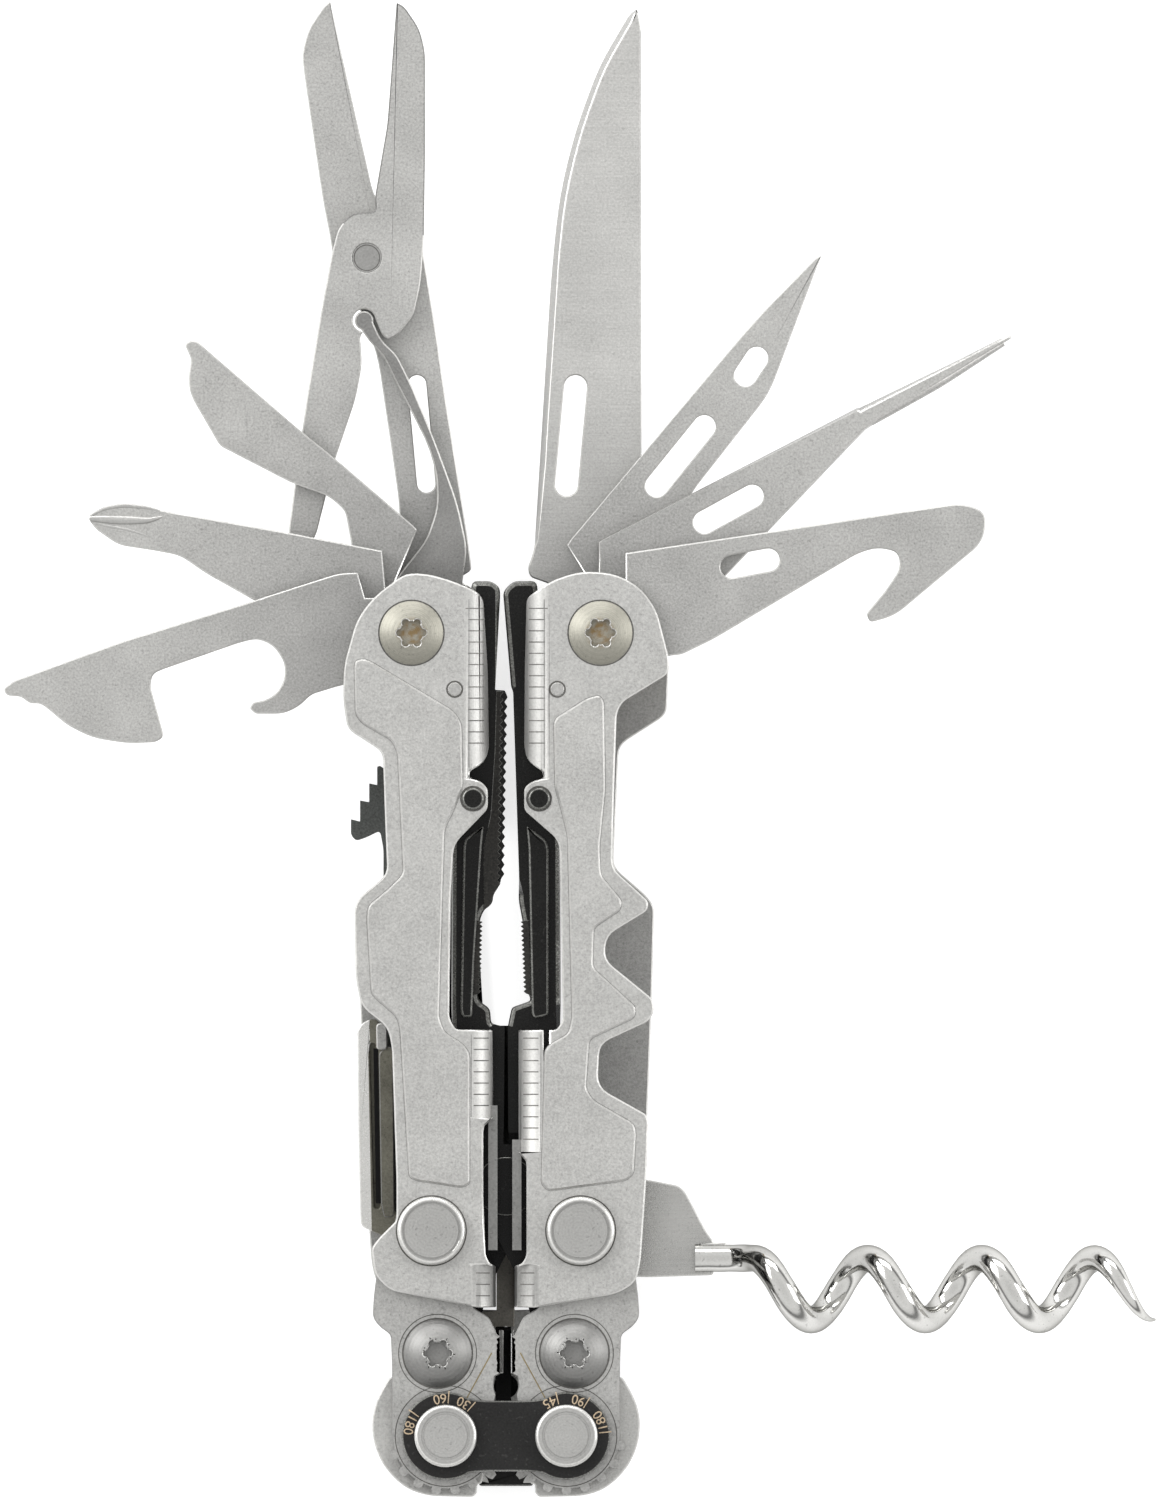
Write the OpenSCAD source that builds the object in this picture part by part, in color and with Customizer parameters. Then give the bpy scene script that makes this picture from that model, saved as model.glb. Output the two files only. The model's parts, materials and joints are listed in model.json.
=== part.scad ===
// Compact folding multi tool: plier jaws held between two geared handles,
// with a fan of tools on the upper pivot of each handle and more on the lower pins.
// X runs across the handles, Y from the plier gears towards the tool pivots,
// Z is the thickness. The back pin heads stand on Z = 0. All lengths in millimetres.

/* [Layout] */
// Half the distance between the two handle gear pins
gear_x = 5.3; // [5.3:0.05:5.4]
// Jaw screw position across the handle
jaw_screw_x = 6.0; // [5.9:0.1:6.1]
// Jaw screw height above the gear pins
jaw_screw_y = 7.25; // [7.2:0.05:7.4]
// Lower pin position across the handle
low_x = 6.55; // [6.5:0.05:6.6]
// Lower pin height above the gear pins
low_y = 18.0; // [17.9:0.1:18.1]
// Upper tool pivot position across the handle
fan_x = 8.3; // [8.2:0.05:8.4]
// Upper tool pivot height above the gear pins
fan_y = 70.45; // [70.4:0.05:70.6]
// Plier joint height above the gear pins
jaw_y = 21.9; // [21.8:0.1:22]

/* [Sheet metal] */
// Thickness of the handle shells
shell_t = 1.2; // [1.1:0.05:1.2]
// Outer bend radius of the rolled inner edge of a shell
bend_r = 2.2; // [2.0:0.1:2.3]
// Thickness of a gear plate
gear_t = 1.6; // [1.4:0.1:1.6]
// Thickness of a yoke plate
yoke_t = 1.2; // [1.0:0.1:1.2]

/* [Gears] */
// Teeth on a full circle of the handle gear
gear_n = 18; // [18:1:18]
// Pressure angle of the teeth in degrees
gear_pa = 20; // [20:1:22]
// Angle taken off each side of a tooth for backlash in degrees
gear_back = 0.9; // [0.7:0.1:1.2]

/* [Pins] */
// Radius of the upper pivot barrel
barrel_r = 2.2; // [2.1:0.05:2.2]
// Radial clearance of a moving part on its pin
run = 0.05; // [0.03:0.01:0.08]
// Radius of the lower pin
low_r = 1.5; // [1.4:0.1:1.5]
// Radius of a gear pin
gear_pin_r = 1.6; // [1.5:0.1:1.7]
// Radius of the jaw screw barrel
jaw_barrel_r = 1.9; // [1.8:0.1:1.9]

/* [Corkscrew] */
// Radius of the helix at the middle of the wire
cork_r = 2.7; // [2.5:0.1:2.7]
// Radius of the wire
cork_wire = 1.2; // [1.0:0.1:1.2]
// Length of one turn
cork_pitch = 10; // [9.8:0.1:10.2]

/* [Hidden] */
$fn = 48;
total_t = 19.2;             // overall thickness over the pin heads
mid = total_t / 2;
z_wall = 17.1;              // inner face of the front shell
z_face = z_wall + shell_t;  // outer face of the front shell
origin_x = 6.4;             // moves the middle of the outline to the origin
origin_y = 60.0;

// ---------- helpers ----------
module slab(z0, z1) for (i = [0:$children - 1]) translate([0, 0, z0]) linear_extrude(z1 - z0) children(i);
module flip_x(on) { if (on) mirror([1, 0, 0]) children(); else children(); }
module flip_z(on) { if (on) translate([0, 0, total_t]) mirror([0, 0, 1]) children(); else children(); }
function unit(v) = v / max(norm(v), 0.001);
// outline with each corner replaced by a short curve; a third number on a point sets its own cut length
function rounded(p, cut = 0.8, n = 4) = [for (i = [0:len(p) - 1])
  let (a = p[(i + len(p) - 1) % len(p)], b = p[i], c = p[(i + 1) % len(p)],
       pa = [a[0], a[1]], pb = [b[0], b[1]], pc = [c[0], c[1]],
       t = min(len(b) > 2 ? b[2] : cut, 0.47 * norm(pa - pb), 0.47 * norm(pc - pb)),
       s = pb + unit(pa - pb) * t, e = pb + unit(pc - pb) * t)
  if (t < 0.03) pb else for (k = [0:n]) let (u = k / n) s * (1 - u) * (1 - u) + pb * 2 * u * (1 - u) + e * u * u];
module slot2d(p, q, w) {
  d = unit(q - p);
  a0 = atan2(d[1], d[0]);
  polygon(concat([for (a = [90:15:270]) p + [cos(a + a0), sin(a + a0)] * w / 2], [for (a = [-90:15:90]) q + [cos(a + a0), sin(a + a0)] * w / 2]));
}
module ring2d(r, ri) { difference() { circle(r); circle(ri); } }
module dome(r, h, z) {
  big = (r * r + h * h) / (2 * h);
  translate([0, 0, z]) intersection() {
    cylinder(r = r, h = h);
    translate([0, 0, h - big]) sphere(big, $fn = 64);
  }
}
module lobe_socket(z, depth, r) {
  translate([0, 0, z - depth]) {
    cylinder(r = r * 0.78, h = depth + 1);
    for (a = [0:60:300]) rotate(a) translate([r * 0.78, 0, 0]) cylinder(r = r * 0.24, h = depth + 1, $fn = 24);
  }
}

// ---------- yoke: the two dog-bone plates that carry both gear pins ----------
yoke_outline = [[-gear_x, 3.7, 1.6], [-2.6, 3.1, 1.2], [2.6, 3.1, 1.2], [gear_x, 3.7, 1.6],
  [gear_x, -3.7, 1.6], [2.6, -3.1, 1.2], [-2.6, -3.1, 1.2], [-gear_x, -3.7, 1.6]];
module yoke(back) color("dimgray") flip_z(back) difference() {
  slab(17.2, 17.2 + yoke_t) { polygon(rounded(yoke_outline)); if (back) polygon(rounded([[-1.5, 5.5, 0.3], [1.5, 5.5, 0.3], [2.2, 0], [2.4, -4.4, 0.3], [-2.4, -4.4, 0.3], [-2.2, 0]], 0)); for (s = [-1, 1]) translate([s * gear_x, 0]) circle(3.85); }
  for (s = [-1, 1]) translate([s * gear_x, 0, 16]) cylinder(r = gear_pin_r + 0.02, h = 4);
}
// stub pins, one in front and one behind, so that the jaw arms can pass between them
module gear_pin() color("silver") for (b = [false, true]) flip_z(b) translate([gear_x, 0, 0]) {
  difference() {
    translate([0, 0, 18.4]) cylinder(r = 2.75, h = 0.8);
    translate([0, 0, 19.1]) rotate_extrude() translate([1.9, 0]) square([0.25, 0.2]);
  }
  translate([0, 0, 15.0]) cylinder(r = gear_pin_r, h = 3.5);
  translate([0, 0, 14.7]) cylinder(r = 2.3, h = 0.7);
}

// ---------- handle shells ----------
// outlines are drawn for the right handle; the left one is mirrored
front_r = [[1.8, 73.5, 0.5], [3.9, 75.0, 1.5], [6.7, 75.9, 1.5], [9.7, 75.6, 1.5], [11.8, 74.4, 1.5], [13.2, 72.5, 1.5],
  [14.3, 68.2, 1], [14.3, 66.9, 0.6], [10.2, 64.4, 1.0], [9.7, 63.4], [9.5, 58], [9.3, 49.8, 0.9], [12.5, 46.9, 0.5],
  [12.4, 46.1, 0.4], [8.8, 43.9, 1.0], [8.6, 41.8, 1.2], [12.9, 38.3, 0.5], [13.0, 37.2, 0.6], [12.5, 36.4, 0.6],
  [8.2, 34.4, 1.0], [8.0, 30.6, 1.2], [12.3, 28.2, 0.5], [12.5, 27.6, 0.5], [12.3, 22.5], [11.8, 15.2], [11.4, 13.5],
  [9.8, 12.5, 1.0], [7.6, 12.1], [2.5, 11.25, 0.2], [0.75, 11.3, 0.1], [0.75, 14.9, 0.1], [1.4, 15.1, 0.4], [1.8, 15.8, 0.5],
  [1.8, 23.7, 0.1], [1.75, 24.1, 0.1], [1.1, 24.9, 0.1], [1.1, 35.6, 0.1], [4.4, 35.6, 0.3], [5.0, 36.4, 0.6], [4.8, 47.0], [4.7, 52.2, 0.9],
  [1.6, 54.9, 0.4], [1.6, 56.9, 0.4], [2.3, 57.4, 0.3], [3.3, 57.7, 0.25], [3.2, 58.3, 0.25], [1.9, 59.2, 0.6], [1.6, 60.4], [1.65, 67.2]];
front_l = [[2.0, 73.4, 0.5], [2.6, 74.1, 0.5], [4.7, 75.0, 1.5], [6.8, 75.6, 1.5], [8.8, 75.7, 1.5], [11.6, 73.6, 1.5], [13.1, 71.6, 1.2],
  [14.2, 67.6, 1], [14.3, 64.6, 1], [13.9, 62.0, 0.7], [10.8, 60.0, 0.7], [10.6, 54], [10.4, 49.3, 0.8], [12.9, 47.2, 0.5], [13.3, 46.3, 0.5],
  [13.2, 40.2, 1], [12.7, 37.7, 0.9], [10.4, 35.9, 0.8], [10.0, 34.2], [9.6, 22.5], [9.6, 18.9, 0.3], [11.1, 17.4, 0.4],
  [11.8, 16.5, 0.4], [11.5, 14.1, 0.7], [10.2, 12.8, 1.0], [8.8, 12.5], [2.4, 11.25, 0.2], [0.9, 11.3, 0.1], [0.9, 14.9, 0.1],
  [1.4, 15.1, 0.4], [1.8, 15.8, 0.5], [2.0, 20.7], [2.0, 26.7, 0.1], [1.9, 27.2, 0.1], [1.1, 27.9, 0.1], [1.2, 35.6, 0.1], [4.4, 35.65, 0.3],
  [5.0, 36.6, 0.6], [4.9, 47.0], [4.6, 51.9, 0.9], [1.6, 55.0, 0.4], [1.6, 56.8, 0.4], [2.2, 57.4, 0.3], [3.2, 57.7, 0.25],
  [3.2, 58.3, 0.25], [1.9, 59.1, 0.6], [1.5, 60.2], [1.6, 67.2]];
back_r = [[1.8, 73.5, 0.5], [3.9, 75.0, 1.5], [6.7, 75.9, 1.5], [9.7, 75.6, 1.5], [11.8, 74.4, 1.5], [13.2, 72.5, 1.5],
  [14.3, 68.2, 1], [14.1, 63.3, 0.8], [9.9, 60.6, 0.9], [9.4, 49.9, 0.9], [12.2, 47.5, 0.6], [13.0, 46.5, 0.6], [12.8, 38.4], [12.4, 28.2],
  [12.3, 22.5], [11.8, 15.2], [11.4, 13.5], [9.8, 12.5, 1.0], [7.6, 12.1], [2.5, 11.25, 0.2], [0.85, 11.3, 0.1], [0.85, 14.9, 0.1],
  [1.4, 15.1, 0.4], [1.8, 15.8, 0.5], [1.8, 23.7, 0.1], [1.75, 24.1, 0.1], [1.1, 24.9, 0.1], [1.1, 35.6, 0.1], [4.4, 35.6, 0.3],
  [5.0, 36.4, 0.6], [4.8, 47.0], [4.7, 52.2, 0.9], [1.6, 54.9, 0.4], [1.6, 57.5, 0.4], [1.6, 60.4], [1.65, 67.2]];
// cross-section of the rolled inner edge, X against Z
module bend2d(xe) {
  c = z_face - bend_r;
  intersection() {
    translate([xe + bend_r, c]) ring2d(bend_r, bend_r - shell_t);
    translate([xe, c]) square([bend_r, bend_r]);
  }
  translate([xe, 14.6]) square([shell_t, c - 14.6]);
}
module bend(xe, y0, y1) translate([0, y1, 0]) rotate([90, 0, 0]) linear_extrude(y1 - y0) bend2d(xe);
// up = edge of the upper roll, lo = edge of the lower roll, fx = near side of the spring finger, ft = its upper end
module shell(outline, up, lo, lo_y, ft_x, fx, ft, back) color("silver") flip_z(back) difference() {
  union() {
    intersection() {
      slab(14.6, z_face) polygon(rounded(outline));
      union() {
        slab(z_wall, z_face) {
          translate([up + bend_r, 10]) square([20, 70]);
          translate([1, 50]) square([6, 7.6]);
          translate([1, 15]) square([6, lo_y - 15]);
        }
        bend(up, 57.6, 76);
        bend(lo, lo_y, 36);
        bend(ft_x, 11, 15);
        slab(z_wall, z_face) { translate([lo + bend_r, lo_y]) square([3, 8]); translate([ft_x + bend_r, 11]) square([3, 5]); }
      }
    }
    // spring finger cut from the rolled edge, pressing on the lower tools
    translate([fx, 16.3, 14.6]) cube([0.8, ft - 16.3, 2.5]);
  }
  translate([fan_x, fan_y, 10]) cylinder(r = barrel_r + 0.02, h = 12);
  translate([low_x, low_y, 10]) cylinder(r = low_r + 0.02, h = 12);
  translate([4.5, 65.5, 10]) cylinder(r = 0.62, h = 12);
  if (!back) translate([2.9, 55.9, 16]) cylinder(r = 1.0, h = 6);
}
module front_shell_right() shell(front_r, 1.6, 1.1, 24.9, 0.75, 0.55, 26, false);
module back_shell_right() shell(back_r, 1.6, 1.1, 24.9, 0.85, 0.55, 26, true);
module front_shell_left() flip_x(true) shell(front_l, 1.5, 1.1, 27.9, 0.9, 0.75, 29, false);
module back_shell_left() flip_x(true) shell(back_r, 1.6, 1.1, 24.9, 0.85, 0.55, 26, true);

// ---------- gear plates ----------
gear_rb = gear_x * cos(gear_pa);
function inv(a) = tan(a) * 180 / PI - a;
function press(r) = r <= gear_rb ? 0 : acos(gear_rb / r);
function half_angle(r) = 90 / gear_n - gear_back + inv(gear_pa) - inv(press(max(r, gear_rb)));
tooth_r = [4.5, 4.99, 5.2, 5.4, 5.6];
function tooth(c) = concat(
  [for (r = tooth_r) let (h = half_angle(r)) [r * cos(c - h), r * sin(c - h)]],
  [for (i = [len(tooth_r) - 1:-1:0]) let (r = tooth_r[i], h = half_angle(r)) [r * cos(c + h), r * sin(c + h)]]);
// right-hand plate; phase sets where the teeth stand so that the pair meshes
function crimp(n) = [for (i = [0:n - 1]) for (k = [0:1]) [k == 0 ? 0.78 : 0.42, 8.9 - (i + k * 0.5) * 0.45]];
// inner edges: the front plates carry the crimping teeth, the back ones close the gap behind them
inner_front = concat([[3.5, 12.2, 0.3], [2.7, 11.15, 0.3], [2.1, 10.8, 0.2], [1.5, 10.4, 0.3], [1.1, 9.6, 0.3]],
  crimp(8), [[1.0, 5.2, 0.05], [1.1, 4.4, 0.1], [0.95, 3.6, 0.1], [1.25, 2.0, 0.2]]);
inner_back = [[3.5, 12.2, 0.3], [2.7, 11.1, 0.3], [0.75, 11.05, 0.1], [0.75, 14.9, 0.1], [0.1, 14.9, 0.1], [0.1, 9.3, 0.1], [0.5, 9.0, 0.1], [0.5, 5.5, 0.1], [0.1, 5.2, 0.1], [0.1, 3.2, 0.1], [0.7, 2.2, 0.2]];
module gear_plate(phase, back) color("gainsboro") flip_z(back) difference() {
  slab(15.5, 15.5 + gear_t) {
    translate([gear_x, 0]) {
      circle(4.6);
      for (a = [phase:20:180]) rotate(180) mirror([0, 1]) polygon(tooth(-a + 10));
    }
    polygon(rounded(concat([[10.0, -0.6, 0.5], [10.0, 6.2, 0.5], [10.1, 8.9, 0.4], [11.1, 9.6, 0.5], [11.7, 10.4, 0.5], [11.6, 12.2], [11.2, 15.5],
      [9.8, 18.5], [9.4, 20.5, 1.5], [4.0, 20.5, 1.0]], back ? inner_back : inner_front, [[gear_x, -0.6, 0.1]]), 0.1));
  }
  translate([0, 4.35, 10]) cylinder(r = 1.05, h = 12);
  translate([gear_x, 0, 10]) cylinder(r = gear_pin_r + run, h = 12);
  translate([jaw_screw_x, jaw_screw_y, 10]) cylinder(r = jaw_barrel_r + 0.02, h = 12);
  translate([low_x, low_y, 10]) cylinder(r = low_r + 0.02, h = 12);
}

// ---------- fasteners of one handle, drawn on the right ----------
module jaw_screw() color("silver") translate([jaw_screw_x, jaw_screw_y, 0]) difference() {
  union() { dome(3.0, 1.25, z_wall); translate([0, 0, 9]) cylinder(r = 1.2, h = z_wall - 8.9); }
  lobe_socket(z_face, 0.9, 1.25);
}
module jaw_nut() color("silver") translate([jaw_screw_x, jaw_screw_y, 0]) difference() {
  union() { translate([0, 0, 2.1]) mirror([0, 0, 1]) dome(3.0, 1.1, 0); translate([0, 0, 2.0]) cylinder(r = jaw_barrel_r, h = 15.0); }
  translate([0, 0, 8]) cylinder(r = 1.25, h = 12);
}
module tool_screw() color("silver") translate([fan_x, fan_y, 0]) difference() {
  union() { dome(2.8, 0.9, z_face); translate([0, 0, 9.5]) cylinder(r = 1.4, h = z_face - 9.4); }
  lobe_socket(total_t - 0.05, 0.7, 1.3);
}
module tool_nut() color("silver") translate([fan_x, fan_y, 0]) difference() {
  union() { cylinder(r = 2.8, h = 0.9); translate([0, 0, 0.8]) cylinder(r = barrel_r, h = z_face - 0.9); }
  translate([0, 0, 9]) cylinder(r = 1.45, h = 12);
}
module lower_pin() color("silver") translate([low_x, low_y, 0]) {
  cylinder(r = 3.0, h = 0.9);
  translate([0, 0, 0.5]) cylinder(r = low_r, h = total_t - 1);
  difference() {
    translate([0, 0, z_face]) cylinder(r = 3.0, h = 0.9);
    translate([0, 0, total_t - 0.15]) rotate_extrude() translate([2.35, 0]) square([0.2, 0.3]);
  }
}
module shell_rivets() color("gainsboro") for (b = [false, true]) flip_z(b) translate([4.5, 65.5, z_wall]) cylinder(r = 0.6, h = shell_t + 0.05);
module stop_pin() color("dimgray") translate([2.9, 55.9, z_wall + 0.02]) cylinder(r = 0.98, h = shell_t + 0.25);
// washers between the tools and the tube that holds the stack against the front shell
module washers(zs, tube_top) color("khaki") translate([fan_x, fan_y, 0]) {
  difference() { translate([0, 0, 2.14]) cylinder(r = 2.9, h = tube_top - 2.14); translate([0, 0, 2]) cylinder(r = barrel_r + 0.02, h = 20); }
  for (z = zs) translate([0, 0, z + 0.04]) linear_extrude(0.12) ring2d(3.4, barrel_r + 0.02);
}
module lower_spacer() color("silver") translate([low_x, low_y, 5.0]) linear_extrude(10.4) ring2d(2.2, low_r + 0.02);

// ---------- plier jaws ----------
// nose outlines; the left nose carries the fine teeth of the flat grip
grip_n = 20;
nose_l = concat([[-3.0, 75.0, 0.5], [-3.7, 66], [-4.4, 58], [-4.75, 52], [-4.8, 38], [-4.6, 29.5], [-4.2, 26.6, 0.4], [-0.2, 26.6, 0.2], [-0.12, 35.9, 0.1],
  [-1.3, 36.2, 0.3], [-1.4, 37.5, 0.4], [-2.4, 38.2, 0.3], [-2.5, 39.2], [-2.3, 45.3], [-1.9, 46.2], [-1.2, 46.7, 0.3], [-1.1, 47.5, 0.3], [-0.5, 48.5, 0.2]],
  [for (i = [0:grip_n - 1]) for (k = [0:1]) [-0.42 + 0.3 * (i + k * 0.5) / grip_n + (k == 0 ? 0 : 0.28), 48.9 + (i + k * 0.5) * 16.3 / grip_n, 0.08]],
  [[-0.1, 65.4, 0.1], [-0.95, 65.45, 0.1], [-0.5, 73.9, 0.3], [-0.6, 74.5, 0.3], [-1.3, 75.0, 0.4]]);
nose_r = concat([[2.7, 75.0, 0.5], [3.6, 66], [4.3, 58], [4.75, 52], [4.8, 38], [4.6, 29.5], [4.2, 26.6, 0.4], [0.2, 26.6, 0.2], [0.15, 35.9, 0.1],
  [0.5, 37.6, 0.3], [2.2, 38.2, 0.3], [1.8, 39.2], [1.5, 44.9], [1.1, 47.0]],
  [[1.15, 49.1, 0.3], [0.62, 65.3]],
  [[0.45, 65.7], [-0.25, 73.9, 0.3], [0.0, 74.4, 0.3], [0.7, 75.0, 0.4]]);
jaw_arm = [jaw_screw_x, jaw_screw_y - jaw_y];
// arm and boss of the jaw whose arm ends on the right; the seat is open on its outer side
module jaw_arm2d() {
  d = unit(jaw_arm);
  nrm = [-d[1], d[0]];
  difference() {
    union() {
      circle(3.7);
      polygon([[0, 0] - nrm * 2.7, jaw_arm * 0.55 - nrm * 2.0, jaw_arm * 0.9 - nrm * 2.6, jaw_arm * 0.9 + nrm * 2.0, jaw_arm * 0.5 + nrm * 1.9, nrm * 2.7]);
      translate(jaw_arm) circle(3.5);
    }
    translate(jaw_arm) {
      circle(jaw_barrel_r + 0.3);
      polygon([[-1.26, 1.8], [4, 5.0], [8, 5], [8, -6], [1.6, -3.6], [-0.93, -1.99], [-1.6, 0]]);
    }
    circle(1.65);
  }
}
module jaw_half(nose, z0, z1) {
  translate([0, jaw_y, 0]) slab(z0, z1) jaw_arm2d();
  translate([0, jaw_y, 0]) slab(z0, z1) polygon([[-3.6, 0.8], [-4.2, 4.8], [-0.25, 4.8], [-0.2, 3.0], [-1.7, 1.6]]);
  slab(5.0, 14.2) polygon(rounded(nose, 0.5, 3));
}
module jaw_left() color("dimgray") jaw_half(nose_l, 9.65, 14.2);
module jaw_right() color("dimgray") flip_x(true) jaw_half([for (p = nose_r) len(p) > 2 ? [-p[0], p[1], p[2]] : [-p[0], p[1]]], 5.0, 9.55);
module jaw_pivot() color("gray") translate([0, jaw_y, 0]) {
  translate([0, 0, 4.9]) cylinder(r = 1.6, h = 9.4);
  for (b = [false, true]) flip_z(b) translate([0, 0, 14.22]) cylinder(r = 2.6, h = 0.18);
}

// ---------- tools on the right upper pivot; outlines are measured from the pivot ----------
// each slot is [one end, other end, width]
module tool(z0, z1, base, slots = []) translate([fan_x, fan_y, 0]) difference() {
  slab(z0, z1) { circle(base); children(); }
  translate([0, 0, z0 - 1]) cylinder(r = barrel_r + run, h = z1 - z0 + 2);
  for (q = slots) slab(z0 - 1, z1 + 1) slot2d(q[0], q[1], q[2]);
}
module knife() color("silver") tool(10.8, 12.6, 4.2, [[[-2.2, 21.6], [-3.0, 13.0], 2.0]])
  polygon(rounded([[-4.1, 0.6], [-4.5, 4.3, 0.3], [-6.2, 4.9, 0.4], [-6.4, 5.7, 0.4], [-5.8, 7.3], [-5.3, 16.9, 4], [-4.3, 31.8, 4], [-3.6, 38.4, 3], [-2.2, 44.1, 2.5],
    [-0.1, 49.8, 2], [2.5, 54.2, 0.8], [3.2, 54.8, 0.25], [3.55, 53.2, 0.6], [3.6, 14.3, 0.6], [3.5, 5.1], [4.2, 0.3], [2.6, -3.1, 0.3], [-2.6, -3.1, 0.3]], 1));
module awl() color("silver") tool(12.8, 14.0, 4.2, [[[13.7, 24.1], [12.7, 22.6], 2.0], [[9.1, 18.1], [4.9, 12.9], 2.0]])
  polygon(rounded([[-4.2, 1.2], [-3.4, 7.0, 0.3], [-2.6, 8.2, 0.3], [13.6, 27.5, 3], [18.9, 32.9, 0.3], [19.4, 33.1, 0.2], [19.1, 32.4, 0.3], [14.8, 21.0, 1.5], [8.2, 12.6, 1], [3.9, 5.0, 1.5], [4.1, -0.8], [0, -3.6]], 1));
module flute_driver() color("silver") tool(14.2, 15.6, 4.2, [[[13.3, 12.0], [9.1, 9.7], 2.0]]) {
  polygon(rounded([[-4.2, 1.0], [-3.0, 6.2], [-0.3, 7.9, 0.4], [22.8, 19.9, 0.4], [23.6, 18.2, 0.3], [10.6, 4.6, 1.5], [3.4, -1.6, 0.2], [0, -3.4, 0.2]], 0.5));
  polygon([[22.0, 19.4], [35.7, 26.05], [36.0, 26.05], [36.0, 25.8], [22.9, 17.6]]);
}
module hook_cutter() color("silver") tool(15.8, 17.0, 4.2, [[[14.7, 6.4], [11.5, 5.8], 2.0]])
  polygon(rounded([[-4.1, 1.2], [-2.0, 6.2, 0.8], [2.2, 7.0, 0.8], [14.0, 8.75], [24.3, 10.3], [31.7, 11.4, 1.5], [33.9, 10.6, 1.2], [33.6, 8.0, 1.3], [29.5, 4.6, 1.5],
    [25.8, 1.5, 1.2], [23.6, 0.9, 0.5], [23.3, 1.7, 0.3], [25.0, 3.7], [26.3, 5.7, 1], [26.1, 7.1, 0.7], [24.3, 7.5, 0.8], [22.6, 7.0, 1], [9.8, -0.6, 1], [7.1, -1.9, 0.4],
    [5.9, -2.0], [3.0, -3.4, 0.2], [-1.2, -3.4, 0.2]], 0.8));

// ---------- tools on the left upper pivot ----------
module tool_l(z0, z1, base, slots = []) translate([-2 * fan_x, 0, 0]) tool(z0, z1, base, slots) children();
riv = [-3.9, 32.9];
notch = [-4.15, 27.4];
module scissors_hole(z0, z1) translate([riv[0] - fan_x, riv[1] + fan_y, z0]) cylinder(r = 1.24, h = z1 - z0);
module scissors_tang() color("silver") difference() {
  tool_l(9.4, 10.8, 4.2, [[[0.5, 21.8], [1.3, 13.1], 1.6]])
    polygon(rounded([[-3.4, -1.6], [-4.2, 2.0], [-3.2, 6.4], [-1.0, 9.6, 0.6], [-1.1, 11.7], [-3.0, 24.6, 2], [-5.6, 31.0, 1], [-6.9, 33.0, 1], [-7.1, 34.5], [-7.8, 38.1], [-9.4, 48.9, 0.8], [-9.6, 50.8, 0.8],
      [-9.0, 53.0, 0.8], [-7.7, 54.9, 0.5], [-7.1, 55.4, 0.15], [-6.6, 53.0, 0.5], [-3.2, 37.9, 2], [-0.9, 36.0, 1], [0.9, 34.2, 1], [2.0, 27.4], [3.0, 20.5], [5.0, 8.0], [5.3, 5.5, 0.4], [4.0, 4.7, 0.4], [4.2, 0.5], [1.0, -3.9]], 1));
  scissors_hole(9, 12);
}
module scissors_lever() color("silver") difference() {
  translate([-fan_x, fan_y, 0]) slab(11.0, 12.4)
    polygon(rounded([[-1.3, 55.3, 0.15], [-0.6, 54.9, 0.4], [0.7, 53.0, 0.8], [1.2, 51.0, 0.8], [1.2, 41.4], [1.1, 34.4], [0.8, 30.6], [0.2, 27.9, 0.5],
      [-1.2, 26.1, 0.5], [-2.1, 25.7, 0.3], [-2.6, 26.2, 0.3], [-3.3, 27.9, 0.3], [-4.5, 26.0, 0.3], [-4.3, 23.6], [-4.9, 20.5], [-6.7, 15.2], [-8.4, 8.4], [-9.4, 7.2, 0.5],
      [-10.5, 7.4, 0.5], [-10.8, 8.8], [-9.2, 20.5], [-8.0, 27.8], [-7.0, 33.2, 0.8], [-6.4, 35.5, 0.6], [-5.2, 36.8, 0.7], [-3.1, 36.9, 0.5], [-3.2, 38.2, 0.5], [-2.1, 44.6]], 1));
  scissors_hole(10, 14);
  translate([notch[0] - fan_x, notch[1] + fan_y, 10]) cylinder(r = 1.0, h = 4);
}
module scissors_rivet() color("gainsboro") translate([riv[0] - fan_x, riv[1] + fan_y, 9.45]) cylinder(r = 1.2, h = 2.9);
// leaf spring that opens the scissors; its eye sits on the pivot barrel and its tip in the notch of the lever
module scissors_spring() color("silver") tool_l(11.0, 12.4, 4.0) {
  translate(notch) circle(0.82);
  polygon(rounded([[-4.6, 26.9, 0.2], [-3.6, 27.8, 0.3], [-2.7, 25.7], [-1.3, 24.4, 0.6], [0, 21.8], [1.6, 18.0, 1.5], [3.0, 14.3, 1.5], [4.1, 11.2, 1.5], [4.9, 7.4], [4.5, 4.6, 0.4], [3.9, 0.6], [0, -3.0], [-3.0, 2.0],
      [-1.0, 5.2, 0.8], [1.3, 8.1, 1], [2.3, 11.0, 1.2], [2.2, 14.0, 1.2], [1.4, 16.6], [0, 19.4], [-1.5, 22.3, 0.6], [-2.4, 24.2, 0.6], [-3.7, 25.6, 0.6]], 1));
}
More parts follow.
